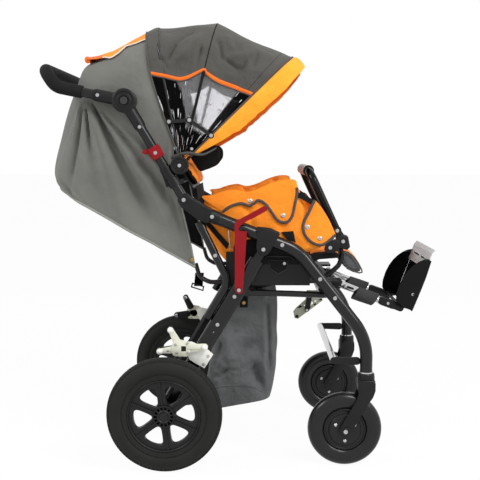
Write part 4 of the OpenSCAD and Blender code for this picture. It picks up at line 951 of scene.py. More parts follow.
across, along = drapeSet["grid"]
drape = build("backDrape", "drapeCloth", "back", [(gridSheet, across, along, drapePoint), (thicken, 1.4)],
              ["drape"], 60, merge=0)
lineInside(drape, "blackCloth", across * along, spot(-60, 900))
build("drapeHem", "hemTape", "back",
      [(pipe, [drapePoint(k / 160, 1.0, 0.3) for k in range(161)], 3.2, 3)]
      + [(pipe, [drapePoint(u, 0.3 + 0.7 * k / 40, 0.3) for k in range(41)], 2.2, 3)
         for u in (0.0, 1.0)], (), 38)
boltSet("drapeSnaps", [(72, 566, 203.5)], "back", 6, 2.6, "brass")

flapSet = {"end": 0.305, "proud": [(0.0, 3.4), (0.6, 3.6), (0.8, 9.0), (1.0, 20.0)],
           "reach": [(0.0, 184), (0.2, 174), (0.36, 160), (0.52, 176), (0.66, 182), (0.75, 168), (1.0, 158)]}


def flapPoint(u, v, extra=0.0):
    # the flap lies on the drape's top and hangs over its shoulders
    run = mix(0.012, flapSet["end"], v)
    aside = (2 * u - 1) * lerp(flapSet["reach"], v)
    wave = 1.6 * ripple((aside / 1000, run, 0), 18, 2.0) + 2.4 * max(0.0, abs(2 * u - 1) - 0.7)
    length, bend = drapeFrame(run)[3:]
    whole = archLength(0, length, drapeSet["half"], bend)
    return drapePoint(0.5 + aside / whole, run, lerp(flapSet["proud"], v) + extra + wave)


flap = build("rearFlap", "orangeCloth", "back", [(gridSheet, 70, 40, flapPoint), (thicken, 2.0)], (), 60,
             merge=0)
paintWhere(flap, "pipingCloth", lambda at, out: at.x < spot(-172, 0).x)
build("flapEdge", "whiteCloth", "back",
      [(pipe, [flapPoint(u, k / 30, 0.2) for k in range(24)], 1.5, 3) for u in (0.0, 1.0)], (), 38)
build("flapRoll", "pipingCloth", "back",
      [(pipe, [flapPoint(k / 40, 0.99, -5.0) for k in range(41)], 7.0, 6)], (), 38)
print("drape made")

# rear wheels
sides = (("R", -1), ("L", 1))
wheelSet = {"axle": (0, 156), "y": 280.3, "turn": 23, "window": (32.5, 84.0, 11.0), "webFace": 14.5,
            "tyre": [(98, 16), (99.5, 19.0), (103, 20.4), (112, 20.8), (114.2, 19.4), (115.6, 20.6),
                     (119, 23.2), (126, 25.0), (133, 24.6), (141, 21.8), (148, 17.0), (151.6, 13.4),
                     (152.4, 12.6), (154.6, 11.6), (155.6, 6.5), (154.4, 5.6), (154.4, 4.4), (155.9, 3.6),
                     (156, 0)],
            "rim": [(93, 0), (93, 16), (94, 19), (95.5, 20.6), (97.5, 20.6), (98.6, 19.4), (99, 17)],
            "hub": 31, "web": (26, 95), "spokes": 6, "corner": 14, "treads": 84, "hubRibs": 14,
            "tread": ((0.007, 0.0065, 0.0036), 0.0142, 0.1499),
            "spokeRib": ((0.0032, 0.012, 0.066), 0.0125, 0.061),
            "hubRib": ((0.0034, 0.010, 0.0085), 0.0157, 0.0223)}  # ribs: size, outward, from the axle


def mirrorProfile(rows):
    return rows + [(r, -out) for r, out in reversed(rows[:-1])]


def block(shape, rib, side, angle, place=(0, 0, 0)):
    # a small box set out from the axle, turned about it and put in place
    size, out, up = rib
    verts = bmesh.ops.create_cube(shape, size=1.0)["verts"]
    bmesh.ops.scale(shape, vec=size, verts=verts)
    bmesh.ops.translate(shape, vec=(0, side * out, up), verts=verts)
    bmesh.ops.rotate(shape, cent=(0, 0, 0), matrix=Matrix.Rotation(angle, 3, "Y"), verts=verts)
    bmesh.ops.translate(shape, vec=place, verts=verts)


def sector(low, high, inset, half, count=12):
    # the four edges of a sixth of the web, drawn in by the inset
    def polar(r, share):
        a = share * (half - math.asin(inset / r))
        return Vector((r * math.sin(a) / 1000, 0, r * math.cos(a) / 1000))

    steps = [k / count for k in range(count)]
    return ([polar(low, mix(-1, 1, k)) for k in steps] + [polar(mix(low, high, k), 1) for k in steps]
            + [polar(high, mix(1, -1, k)) for k in steps] + [polar(mix(high, low, k), -1) for k in steps])


def spokeWeb(shape, place, side):
    # one sixth of the web with its window, spun round the hub
    half = math.pi / wheelSet["spokes"]
    hole = sector(*wheelSet["window"], half)
    for _ in range(wheelSet["corner"]):
        hole = [(hole[i - 1] + hole[i] * 2 + hole[(i + 1) % len(hole)]) / 4 for i in range(len(hole))]
    web = bmesh.new()
    rings = []
    for pts in (sector(*wheelSet["web"], 0.0, half), hole):
        verts = [web.verts.new(p) for p in pts]
        rings += [web.edges.new(pair) for pair in zip(verts, verts[1:] + verts[:1])]
    bmesh.ops.bridge_loops(web, edges=rings)
    extrude(web, web.faces[:], (0, side * wheelSet["webFace"] / 1000, 0))
    doomed = [f for f in web.faces
              if all(abs(abs(math.atan2(v.co.x, v.co.z)) - half) < 1e-4 for v in f.verts)]
    bmesh.ops.delete(web, geom=doomed, context="FACES_ONLY")
    block(web, wheelSet["spokeRib"], side, -half)  # a rib along the spoke
    bmesh.ops.spin(web, geom=web.verts[:] + web.edges[:] + web.faces[:], cent=(0, 0, 0), axis=(0, 1, 0),
                   angle=2 * math.pi, steps=wheelSet["spokes"], use_duplicate=True, use_merge=False)
    bmesh.ops.remove_doubles(web, verts=web.verts[:], dist=2e-5)
    turn = Matrix.Rotation(math.radians(wheelSet["turn"]), 3, "Y")
    bmesh.ops.rotate(web, cent=(0, 0, 0), matrix=turn, verts=web.verts[:])
    bmesh.ops.translate(web, vec=place, verts=web.verts[:])
    pour(shape, meshFrom("web", web))


for tag, side in sides:
    x, z = wheelSet["axle"]
    y = side * wheelSet["y"]
    body, place, hub = "rear_wheel_" + tag, spot(x, z, y), wheelSet["hub"]
    rows = [(lathe, mirrorProfile(wheelSet["tyre"]), x, z, y, side, 112)]
    for k in range(wheelSet["treads"]):  # low tread blocks along both shoulders
        for s, share in ((-1, 0.75), (1, 0.25)):
            rows.append((block, wheelSet["tread"], s, 2 * math.pi * (k + share) / wheelSet["treads"], place))
    build("rearTyre" + tag, "rubber", body, rows, ["rear_tyre_" + tag], 30)
    rows = [(lathe, mirrorProfile([(99, 0)] + wheelSet["rim"][::-1]), x, z, y, side, 72),
            (spokeWeb, place, side),
            (lathe, [(6.3, -23), (hub - 6, -23), (hub, -18), (hub, 18), (hub - 1.5, 21), (hub - 4, 21.5),
                     (hub - 4.6, 20.6), (hub - 5, 11), (18.8, 11), (18.4, 22), (17, 23.6), (14.6, 24.2),
                     (13.2, 22.8), (12.0, 22.6), (11.2, 23.6), (0, 24)], x, z, y, side, 48)]
    for k in range(wheelSet["hubRibs"]):  # small ribs of the hub's ring
        rows.append((block, wheelSet["hubRib"], side, 2 * math.pi * k / wheelSet["hubRibs"], place))
    build("rearRim" + tag, "rimPlastic", body, rows, ["rear_rim_" + tag], 30)
print("rear wheels made")

# castors
castorSet = {"axle": (490, 101.5), "stem": 547, "y": 224,
             "tyre": [(58.5, 12), (60, 15), (66, 18.5), (74, 20.4), (80.5, 21), (87, 20.2), (93, 17.6),
                      (97.5, 13.6), (100.3, 8.5), (101.3, 4), (101.5, 0)],
             "rim": [(6.4, 20.5), (13, 20.5), (14, 19), (33, 19), (42, 18.5), (44, 16.5), (45, 13.5),
                     (52, 12.5), (53.5, 14), (56, 14.5), (58, 13), (58.4, 9)], "bolts": 30,
             "crown": [(7.2, 259), (20, 259), (22.5, 256), (23.5, 248), (24.2, 232), (25.0, 222), (24.0, 212),
                       (18, 208), (0, 208)],
             "arm": [(523, 236), (536, 243), (560, 243), (570, 236), (570, 214), (564, 196), (548, 172),
                     (506, 98), (500, 89), (490, 85), (480, 88), (473, 97), (474, 108), (520, 190),
                     (524, 206)]}
upright = Matrix.Rotation(math.radians(90), 4, "X")
for tag, side in sides:
    x, z = castorSet["axle"]
    y, sx = side * castorSet["y"], castorSet["stem"]
    wheel, fork = "castor_wheel_" + tag, "castor_" + tag
    rows = mirrorProfile(castorSet["tyre"]) + castorSet["tyre"][:1]
    build("castorTyre" + tag, "castorRubber", wheel, [(lathe, rows, x, z, y, side, 84)],
          ["castor_tyre_" + tag], 40)
    rows = castorSet["rim"] + [(r, -out) for r, out in reversed(castorSet["rim"])] + castorSet["rim"][:1]
    build("castorRim" + tag, "rimPlastic", wheel, [(lathe, rows, x, z, y, side, 60)],
          ["castor_rim_" + tag], 30)
    head, ring = [(4.6, 0), (4.6, 1.6), (3.6, 2.6), (2.4, 2.6), (2.0, 1.4), (0, 1.4)], castorSet["bolts"]
    build("castorBolts" + tag, "steel", wheel,
          [(lathe, head, x + ring * math.cos(a), z + ring * math.sin(a), y + s * 19, s, 14)
           for a in (2.62, 4.71, 0.52) for s in (-1, 1)], (), 38)
    # fork: a crown turned round the stem, two arms swept back to the axle
    rows = [(lathe, castorSet["crown"], sx, 0, y, 1, 40, upright)]
    rows += [(plate, castorSet["arm"], y + s * 22.4, y + s * 29.0, 2.6, 3) for s in (-1, 1)]
    rows += [(lathe, [(9.5, 0), (9.5, 2.0), (8.5, 2.8), (0, 2.8)], x, z, y + s * 29.0, s, 24)
             for s in (-1, 1)]
    rows.append((plate, [(523, 241), (570, 241), (570, 219), (523, 219)], y - 23.5, y + 23.5, 3.0, 3))
    build("castorFork" + tag, "plastic", fork, rows, ["castor_fork_" + tag], 30)
    build("stemRing" + tag, "chrome", fork,
          [(lathe, [(12, 259.2), (19.5, 259.2), (19.5, 262.2), (12, 262.2)], sx, 0, y, 1, 32,
            upright)], (), 38)
    boltSet("castorAxle" + tag, [(x, z, y + side * 31.6)], fork, 6.5, 3.2, both=False)
print("castors made")

# handle
handleSet = {"path": [(-215.3, 1015), (-285, 1029), (-317, 1075)], "half": 224, "grip": 17}
points = [spot(x, z, -handleSet["half"]) for x, z in handleSet["path"]]
points += [spot(x, z, handleSet["half"]) for x, z in reversed(handleSet["path"])]
build("handleGrip", "foam", "handle", [(pipe, roundPath(points, [40, 36, 36, 40], 10), handleSet["grip"], 7)],
      ["handle_grip"], 50)
print("handle made")

# padded pieces
padSet = {"voxel": 0.006, "pressure": 4.0, "steps": 20, "stiff": 12, "bend": 0.4, "fill": 0.7}


def stuffed(name, outline, low, high, finish, body, stands, cap=8, voxel=padSet["voxel"], after=None,
            place=spot):
    # closed slab: outline in two directions, raised between low and high, then blown up by no more than cap
    shape = bmesh.new()
    base = shape.faces.new([shape.verts.new(place(a, b, low)) for a, b in outline])
    extrude(shape, [base], place(0, 0, high) - place(0, 0, low))
    bmesh.ops.recalc_face_normals(shape, faces=shape.faces[:])
    holder = bpy.data.objects.new(name + "Start", meshFrom(name, shape))
    scene.collection.objects.link(holder)
    remesh = holder.modifiers.new("even", "REMESH")
    remesh.mode = "VOXEL"
    remesh.voxel_size = voxel
    smooth = holder.modifiers.new("soften", "SMOOTH")
    smooth.factor, smooth.iterations = 0.5, 6
    start = finalMesh(holder)
    bpy.data.objects.remove(holder)
    piece = addMesh(name, start, finish, None, (), 0)
    rest = [v.co.copy() for v in start.vertices]
    cloth = piece.modifiers.new("fill", "CLOTH")
    cloth.settings.use_pressure = True
    cloth.settings.uniform_pressure_force = padSet["pressure"]
    cloth.settings.effector_weights.gravity = 0.0
    cloth.settings.quality = 4
    cloth.settings.tension_stiffness = cloth.settings.compression_stiffness = padSet["stiff"]
    cloth.settings.bending_stiffness = padSet["bend"]
    cloth.point_cache.frame_start, cloth.point_cache.frame_end = 1, padSet["steps"]
    for step in range(1, padSet["steps"] + 1):
        scene.frame_set(step)
    done = piece.evaluated_get(bpy.context.evaluated_depsgraph_get()).to_mesh()
    moved = [v.co.copy() for v in done.vertices]
    piece.evaluated_get(bpy.context.evaluated_depsgraph_get()).to_mesh_clear()
    piece.modifiers.remove(cloth)
    scene.frame_set(1)
    for v, a, b in zip(start.vertices, rest, moved):
        step = b - a
        if step.length > cap / 1000:
            step *= cap / 1000 / step.length
        v.co = after(a + step) if after else a + step
    shape = bmesh.new()
    shape.from_mesh(start)
    bmesh.ops.smooth_vert(shape, verts=shape.verts[:], factor=0.4, use_axis_x=True, use_axis_y=True,
                          use_axis_z=True)
    shape.to_mesh(start)
    shape.free()
    fine = piece.modifiers.new("fine", "SUBSURF")
    fine.levels = fine.render_levels = 1
    final = finalMesh(piece)
    piece.modifiers.clear()
    piece.data = final
    final.polygons.foreach_set("use_smooth", [True] * len(final.polygons))
    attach(piece, body)
    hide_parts(*stands)
    return piece


def roundedBox(x0, y0, x1, y1, r, n=6):
    out = []
    for cx, cy, a0 in ((x0 + r, y0 + r, 180), (x1 - r, y0 + r, 270), (x1 - r, y1 - r, 0),
                       (x0 + r, y1 - r, 90)):
        for k in range(n + 1):
            a = math.radians(a0 + 90 * k / n)
            out.append((cx + r * math.cos(a), cy + r * math.sin(a)))
    return out


seatPad = {"outline": [(160, 512), (350, 512), (388, 548), (428, 566), (482, 570), (489, 574), (482, 579),
                       (430, 578), (360, 571), (250, 568), (172, 566), (160, 558)], "half": 148,
           "edge": [(372, 536), (394, 556), (420, 565), (470, 569), (471, 581), (440, 583), (408, 580),
                    (384, 570), (366, 548)]}


def dent(at, line, wide=7):
    # a sewn line's dip across the line
    return math.exp(-((at - line) / wide) ** 2)


def seatChannels(co):
    x, z = drawn(co)
    if z > 545 and x < 420:
        co.z -= 0.007 * (dent(x, 250) + dent(x, 345)) + 0.005 * dent(abs(co.y) * 1000, 95)
    return co


def acrossSeat(name, piece, finish, stands, cap, **more):
    return stuffed(name, piece["outline"], -piece["half"], piece["half"], finish, "seat", stands, cap, **more)


seatPiece = acrossSeat("seatPad", seatPad, "orangeCloth", ["seat_cushion"], 6, after=seatChannels)
paintWhere(seatPiece, "blackCloth", lambda at, out: out.z < 0.1)
build("seatEdge", "blackCloth", "seat", [(plate, seatPad["edge"], 152, 188, 2.0)], (), 40, True)

backPad = {"pivot": (52.98, 730.97), "up": (-0.5131, 0.8583), "low": 14, "high": 280, "off": (33, 51),
           "half": 142}


def onBack(run, ahead, y=0.0):
    ux, uz = backPad["up"]
    return spot(backPad["pivot"][0] + run * ux + ahead * uz, backPad["pivot"][1] + run * uz - ahead * ux, y)


backUp = Vector((backPad["up"][0], 0, backPad["up"][1]))
backAhead = Vector((backPad["up"][1], 0, -backPad["up"][0]))


def backChannels(co):
    run, ahead = ((co - onBack(0, 0)).dot(way) * 1000 for way in (backUp, backAhead))
    if ahead > 42:
        dip = sum(dent(run, line) for line in (80, 150, 220)) + dent(abs(co.y) * 1000, 90)
        co -= backAhead * 5 * dip / 1000
    return co


backPiece = stuffed("backPad",
                    roundedBox(backPad["low"], -backPad["half"], backPad["high"], backPad["half"], 46),
                    *backPad["off"], "blackCloth", "back", ["back_cushion"], 6, after=backChannels,
                    place=lambda a, b, h: onBack(a, h, b))
paintWhere(backPiece, "orangeCloth", lambda at, out: out.dot(backAhead) > 0.45)

# lower back pad between the wings, and the flap that covers its top
lumbarSet = {"outline": [(178, 576), (158, 606), (140, 640), (129, 674), (124, 704), (120, 718), (110, 722),
                         (101, 717), (98, 704), (102, 668), (113, 632), (131, 598), (152, 572)], "half": 158,
             "flap": [(80, 764), (82, 750), (84, 738), (85, 727)]}
lumbarPiece = acrossSeat("lumbarPad", lumbarSet, "orangeCloth", (), 4)
paintWhere(lumbarPiece, "blackCloth", lambda at, out: out.x < -0.15)
lumbarFlap = build("lumbarFlap", "blackCloth", "back",
                   [(strap, [spot(x, z) for x, z in lumbarSet["flap"]], 290, (0, 1, 0), 2.0)], (), 40)

wingSet = {"outline": [(100, 736), (128, 741), (152, 749), (176, 756), (198, 756), (216, 750), (240, 752),
                       (262, 766), (290, 778), (316, 785), (342, 787), (360, 779), (372, 750), (388, 700),
                       (404, 650), (424, 608), (430, 594), (412, 587), (392, 578), (374, 556), (350, 549),
                       (290, 549), (220, 549), (164, 549), (142, 574), (118, 612), (100, 650), (94, 690)],
           "y": (170.5, 192)}


def wingChannels(co):
    # three puffs along the crest
    x, z = drawn(co)
    flip = 1 if co.y > 0 else -1
    for line, lean in ((212, 0.25), (306, 0.12)):
        dip = dent(x - (750 - z) * lean, line, 8) * clamp((z - 600) / 80)
        co.y += flip * (-0.006 if abs(co.y) > 0.181 else 0.006) * dip
        co.z -= 0.007 * dip * (1 if z > 725 else 0)
    return co


for tag, side in sides:
    stuffed("wingPad" + tag, wingSet["outline"], side * wingSet["y"][0], side * wingSet["y"][1],
            "orangeCloth", "seat", ["wings"], 6, 0.005, wingChannels)

apronSet = {"outline": [(484, 586), (502, 580), (518, 568), (532, 548), (541, 531), (542, 524), (535, 522),
                        (516, 527), (500, 535), (489, 552), (483, 570)], "half": 146}
apron = acrossSeat("seatApron", apronSet, "apronCloth", ["seat_apron"], 4, voxel=0.005)
paintWhere(apron, "orangeCloth", lambda at, out: out.x + out.z > 0.75 and abs(out.y) < 0.6
           and at.z > 0.553 + 1.2 * max(0.0, abs(at.y) - 0.13))
build("apronPiping", "binding", "seat",
      [(pipe, [spot(x, z, side * 149) for x, z in apronSet["outline"]], 2.2, 3, True)
       for side in (-1, 1)], (), 40)

headSet = {"outline": [(8, -22), (50, -28), (80, -16), (91, 4), (86, 24), (64, 33), (28, 34), (6, 30)],
           "run": 64, "off": 58, "y": (103, 121)}
for tag, side in sides:
    stuffed("headPad" + tag, headSet["outline"], side * headSet["y"][0], side * headSet["y"][1],
            "blackCloth", "back", ["head_pads"], 5, 0.005,
            place=lambda a, b, h: onBack(headSet["run"] + b, headSet["off"] + a, h))
print("pads made")

# seat flaps
flapFolds = {
    "rear": [(98, 737), (128, 742), (153, 751), (188, 757), (216, 750), (250, 758), (283, 773), (320, 784),
             (352, 782), (355, 762), (356, 748), (350, 715), (343, 684), (330, 669), (312, 669), (299, 679),
             (286, 698), (273, 715), (259, 725), (250, 727), (240, 720), (227, 713), (217, 716), (204, 719),
             (181, 713), (166, 705), (155, 696), (128, 714)],
    "front": [(404, 728), (416, 716), (427, 702), (443, 676), (457, 646), (461, 634), (452, 625), (438, 613),
              (424, 606), (405, 609), (388, 621), (377, 637), (373, 656), (378, 675), (387, 692), (396, 712)],
}


def seatFlap(name, outline, y=198.2, bulge=1.6):
    # a sheet cut to the outline and puffed a little
    wide, tall = ((max(row) - min(row)) / 1000 for row in zip(*outline))
    for tag, side in sides:
        shape = bmesh.new()
        face = shape.faces.new([shape.verts.new(spot(x, z, side * y)) for x, z in outline])
        bmesh.ops.triangulate(shape, faces=[face])
        bmesh.ops.subdivide_edges(shape, edges=shape.edges[:], cuts=2, use_grid_fill=True)
        edge = {v for e in shape.edges if e.is_boundary for v in e.verts}
        for v in shape.verts:
            near = min((v.co - b.co).length for b in edge)
            v.co.y += side * (bulge * min(1.0, near / 0.03) + 0.8 * ripple(v.co, 45, 2.0)) / 1000
        extrude(shape, shape.faces[:], (0, side * 0.0016, 0))
        sheet = addPiece(name + tag, shape, "orangeCloth", "seat", (), 60, 0)


seatFlap("sideFlap", smoothLine(flapFolds["rear"], True, 3))
seatFlap("frontFlap", smoothLine(flapFolds["front"], True, 3))
# edges with a dark binding
bound = (flapFolds["rear"][9:27], flapFolds["front"][5:] + flapFolds["front"][:1])
build("flapBinding", "binding", "seat",
      [(pipe, [spot(x, z, side * 199.2) for x, z in smoothLine(line)], 4.2, 3)
       for side in (-1, 1) for line in bound], (), 38)
boltSet("flapSnaps", [(229, 726, 199.6), (319, 686, 199.6), (385, 655, 199.6), (419, 624, 199.6)], "seat",
        6.5, 2.4)
print("seat flaps made")

# basket
basketSet = {"top": (142, 304, 464, 494), "low": (84, 299, 120, 161), "half": 165, "bulge": 13,
             "floorAt": 0.72,
             "creases": [((175, 385), (276, 180), 13, -19), ((150, 380), (240, 190), 17, 9),
                         ((204, 390), (284, 225), 12, 8), ((266, 450), (272, 230), 8, 8),
                         ((284, 455), (290, 250), 6, -11), ((126, 220), (168, 248), 6, -9),
                         ((132, 255), (180, 300), 12, 7), ((150, 330), (118, 240), 9, -9),
                         ((232, 440), (226, 350), 9, -6)],
             "seam": [(96, 188), (135, 197), (180, 201), (222, 204), (246, 196), (264, 184), (280, 182),
                      (296, 190)],
             "square": 0.28, "tab": 212}  # creases: upper end, lower end, width, depth


def basketFold(sx, sy, drop, x, z):
    # named creases over loose slanting waves
    slant = sx * 0.9 - drop * 1.5 + sy * 0.3
    deep = 11 * noise.noise(Vector((slant * 1.6, drop * 0.5, sy * 0.6 + 2.0)))
    fine = 8 * noise.noise(Vector((slant * 4.2, drop * 1.1, sy * 0.8 + 7.0)))
    waves = (deep + fine) * math.sin(math.pi * min(1.0, drop * 0.94 + 0.02))
    return waves + creased(basketSet["creases"], Vector((x, z)))


def basketEnds(drop):
    # rear and front x, then rear and front z, at a share of the way down
    x0, x1, z0, z1 = (mix(a, b, drop) for a, b in zip(basketSet["top"], basketSet["low"]))
    return x0, x1 + basketSet["bulge"] * math.sin(math.pi * drop), z0, z1


def basketPoint(u, v):
    # u round the wall, v from the mouth down the wall and across the floor
    floorAt = basketSet["floorAt"]
    drop = min(1.0, v / floorAt)
    x0, x1, z0, z1 = basketEnds(drop)
    a = 2 * math.pi * u
    sx, sy = (math.copysign(abs(c) ** basketSet["square"], c) for c in (math.cos(a), math.sin(a)))
    shrink = 1.0 if v <= floorAt else 1 - (v - floorAt) / (1 - floorAt)
    pull = 1 - 0.05 * max(0.0, (drop - 0.86) / 0.14) ** 2  # the wall rounds in to the floor
    cx, hx, long = (x0 + x1) / 2, (x1 - x0) / 2, max(x1 - x0, 1)
    flat = cx + hx * sx
    fold = basketFold(sx, sy, drop, flat, mix(z0, z1, (flat - x0) / long)) if shrink == 1.0 else 0.0
    x = cx + (hx - 4 + max(-10.0, min(fold, 8.0)) * 0.5) * sx * shrink * pull
    y = (basketSet["half"] - 4 + max(-22.0, min(fold, 9.0))) * sy * shrink * pull
    z = mix(z0, z1, (x - x0) / long)
    if shrink < 1.0:
        z += 2 - 8 * (1 - shrink) * shrink
    return spot(x, z, y)


def basketWall(x, z, side):
    # the place on a side wall that lies at x, z
    drop = 0.5
    for _ in range(12):
        x0, x1 = basketEnds(drop)[:2]
        along = clamp((x - x0) / (x1 - x0))
        high, low = (mix(*basketSet[key][2:], along) for key in ("top", "low"))
        drop = (high - z) / (high - low)
    sx = 2 * along - 1
    a = math.acos(math.copysign(abs(sx) ** (1 / basketSet["square"]), sx))
    return basketPoint((side * a / (2 * math.pi)) % 1.0, drop * basketSet["floorAt"])


shape = bmesh.new()
gridSheet(shape, 220, 110, basketPoint)
bmesh.ops.remove_doubles(shape, verts=shape.verts[:], dist=2e-5)
thicken(shape, 1.6)
basket = addPiece("basketBag", shape, "basketCloth", "chassis", ["basket"], 60, 0)
rows = [(pipe, [basketPoint(k / 160, 0.012) for k in range(160)], 3.0, 3, True)]  # hem of the mouth
seam = [(k / 7, q) for k, q in enumerate(basketSet["seam"])]
for side in (-1, 1):  # the floor's seam on the side walls
    rows.append((pipe, [basketWall(*glide(seam, k / 60), side) for k in range(61)], 1.9, 3))
build("basketSeams", "basketCloth", "chassis", rows, (), 40)
tab = [spot(basketSet["tab"], 478 - k * 7, 172 - 0.4 * k) for k in range(8)]
build("basketTabs", "webbing", "chassis", [(strap, tab, 22, (1, 0, 0), 2.2)], (), 40, True)
boltSet("basketSnaps", [(basketSet["tab"], 441, 171.2)], "chassis", 5.5, 2.6, "brass")
print("basket made")

# leg rest, footplate and guards
legSet = {"at": (474, 487), "slope": 20, "y": 100}


def onRest(run, rise=0.0):
    a = math.radians(legSet["slope"])
    return (legSet["at"][0] + run * math.cos(a) + rise * math.sin(a),
            legSet["at"][1] - run * math.sin(a) + rise * math.cos(a))


build("restBars", "chrome", "leg_rest", [
    (plate, capsule(onRest(0), onRest(92), 22, 17), 97, 103, 0.8),
    (lathe, [(8.4, -12), (13, -12), (13, 12), (8.4, 12), (8.4, -12)], *legSet["at"], legSet["y"], 1, 28),
], ["leg_rest"], 30, True)
shape = bmesh.new()
start, stop = Vector(onRest(62, -9)), Vector(onRest(132, -5))
way, long = stop - start, (stop - start).length
tube = lathe(shape, [(10, 0), (15.5, 0), (17.5, 1.5), (17.8, long / 2), (17.5, long - 1.5), (15.5, long),
                     (10, long), (10, 0)], *start, legSet["y"], 1, 36, aim((way.x, 0, way.y)))
for v in tube:  # slanted ends
    v.co.x += (v.co.z - spot(*start).z) * 0.4
bothSides(shape)
addPiece("restSleeves", shape, "sleeve", "leg_rest", (), 30)
# thin dark plates on the bars' outer faces stand in for their slots, a painted shade of the recesses; the
# thicker plate is a black block by the pivot
build("restSlotShadeAndBlock", "plastic", "leg_rest",
      [(plate, capsule(onRest(26), onRest(52), 6.5, 6.5), 103.0, 103.5, 0.2, 1),
       (plate, capsule(onRest(-6), onRest(14, -10), 10, 8), 103.0, 106.0, 0.8, 1)],
      (), 30, True)
stub = [spot(*onRest(100, -7), legSet["y"]), spot(*onRest(150, -4), legSet["y"])]
build("restStubs", "chrome", "leg_extension", [(pipe, stub, 9, 6)], ["leg_extension"], 30, True)
build("restArms", "plastic", "leg_extension", [
    (plate, capsule(onRest(144, -4), onRest(200, -6), 21, 19), 95, 105, 2.0),
    (plate, capsule(onRest(142, -4), onRest(176, -4), 24, 24), 91, 109, 2.4), (bothSides,),
    (pipe, [spot(*onRest(196), side * legSet["y"]) for side in (-1, 1)], 5, 5)], (), 30)
boltSet("restBolts", [(*onRest(0), 103.5), (*onRest(30), 103.2), (*onRest(70), 103.2)], "leg_rest", 5, 2)
boltSet("armBolts", [(*onRest(160, -4), 109.2)], "leg_extension", 4.5, 2)

footSet = {"low": (680, 412), "high": (742, 580), "thick": 6, "half": 123, "slots": ((148, 153), (14, 92))}
along = Vector(footSet["high"]) - Vector(footSet["low"])
footLong = along.length
along.normalize()
ahead = Vector((along.y, -along.x))


def onFoot(run, out):
    return tuple(Vector(footSet["low"]) + along * run + ahead * out)


def toePlate(u, v):
    # bright plate along the top, rolled forward at its edge
    out = 0.5 + footSet["thick"] / 2 + 4.5 * max(0.0, v - 0.8) / 0.2
    return spot(*onFoot(mix(124, footLong + 5, v), out), mix(-footSet["half"], footSet["half"], u))


def footBack(u, v):
    half = 127 - 7 * max(0.0, v - 0.7) / 0.3
    return spot(*onFoot(mix(0, 152, v), 6.2 + 1.5 * math.sin(math.pi * v)), mix(-half, half, u))


shape = bmesh.new()
gridSheet(shape, 60, 26, toePlate)
(runLow, runHigh), (sideLow, sideHigh) = footSet["slots"]
cut = []
for f in shape.faces:  # two long slots below the top edge
    c = f.calc_center_median()
    run = (Vector(drawn(c)) - Vector(footSet["low"])).dot(along)
    if runLow < run < runHigh and sideLow < abs(c.y * 1000) < sideHigh:
        cut.append(f)
bmesh.ops.delete(shape, geom=cut, context="FACES")
thicken(shape, 2.4)
addPiece("toePlate", shape, "alloy", "foot", (), 30, 0)
rows = [(gridSheet, 24, 20, footBack), (thicken, 3.0)]
rows += [(plate, capsule(onRest(196), onFoot(8, 4), 18, 8), side * 98, side * 102, 0.8) for side in (-1, 1)]
ribLine = [onFoot(8, 2.6), onFoot(110, 3.6), onFoot(110, 6.4), onFoot(8, 6.4)]
rows += [(plate, ribLine, y - 1.5, y + 1.5, 0.5, 1) for y in (-60, 0, 60)]  # low ribs up the back
build("footPlate", "gloss", "foot", rows, ["footplate"], 30, merge=0)

guardSet = {"long": 150, "reach": 50, "half": 128,
            "edge": [(0, 0.6), (0.07, 0.85), (0.2, 0.97), (0.38, 1), (0.54, 0.95), (0.67, 0.84), (0.79, 0.67),
                     (0.89, 0.45), (0.96, 0.22), (1, 0.0)]}


def guardPoint(u, v):
    # v from the footplate back to the free edge, which curls inwards
    reach = lerp(guardSet["edge"], u) * guardSet["reach"]
    x, z = onFoot(u * guardSet["long"] + 2, 7 - (7 + reach) * v)
    return spot(x, z, guardSet["half"] - 2 - 10 * v * v)


build("footGuards", "gloss", "foot", [(gridSheet, 44, 16, guardPoint), (thicken, 3.2)], ["foot_guards"], 40,
      True, 0)
boltSet("guardRivets", [(*onFoot(46, -6), 126.4)], "foot", 5.5, 2.4)
print("leg rest made")

# tilt bracket
tiltSet = {"thick": 4, "plates": [
    [(362.7, 362.6), (372.7, 360.1), (404, 384), (393, 398), (380, 402), (368.7, 394.2), (358.9, 381.5)],
    [(396, 378), (410, 388), (447, 417), (441, 424), (402, 392)],
    [(368.7, 394.2), (379, 392), (404, 412), (403, 421), (395, 418)],
    [(404, 388), (411, 393), (414, 416), (405, 416)],
    [(422, 399), (428, 403), (420, 418), (413, 416)],
    [(395, 416), (446, 416), (440, 446), (399, 446)]],
    "arm": ((406, 424), (399, 388))}
thick = tiltSet["thick"]
build("tiltPlate", "sage", "chassis",
      [(plate, outline, -thick, thick, 0.6, 1) for outline in tiltSet["plates"]], ["tilt_bracket"])
build("tiltArms", "plastic", "chassis", [(plate, capsule(*tiltSet["arm"], 15, 13), y0, y1, 1.2)
                                         for y0, y1 in ((-9.5, -4.4), (4.4, 9.5))])
boltSet("tiltBolts", [(*tiltSet["arm"][1], 9.5)], "chassis", 4.4, 2.4)
boltSet("tiltStop", [(370.2, 367.7, 4.0)], "chassis", 4.6, 3.0, "plastic")

# step bar
stepSet = {"at": (459, 290), "reach": (521.7, 289), "half": 218}
tube = [spot(*stepSet["at"], side * stepSet["half"]) for side in (-1, 1)]
build("stepTube", "chrome", "chassis", [(pipe, tube, 9.5, 7)], ["step_bar"], 40)
arm = capsule(stepSet["at"], stepSet["reach"], 19, 22)
build("stepArms", "plastic", "chassis", [(plate, arm, 214.5, 222, 2.2, 3)], (), 40, True)

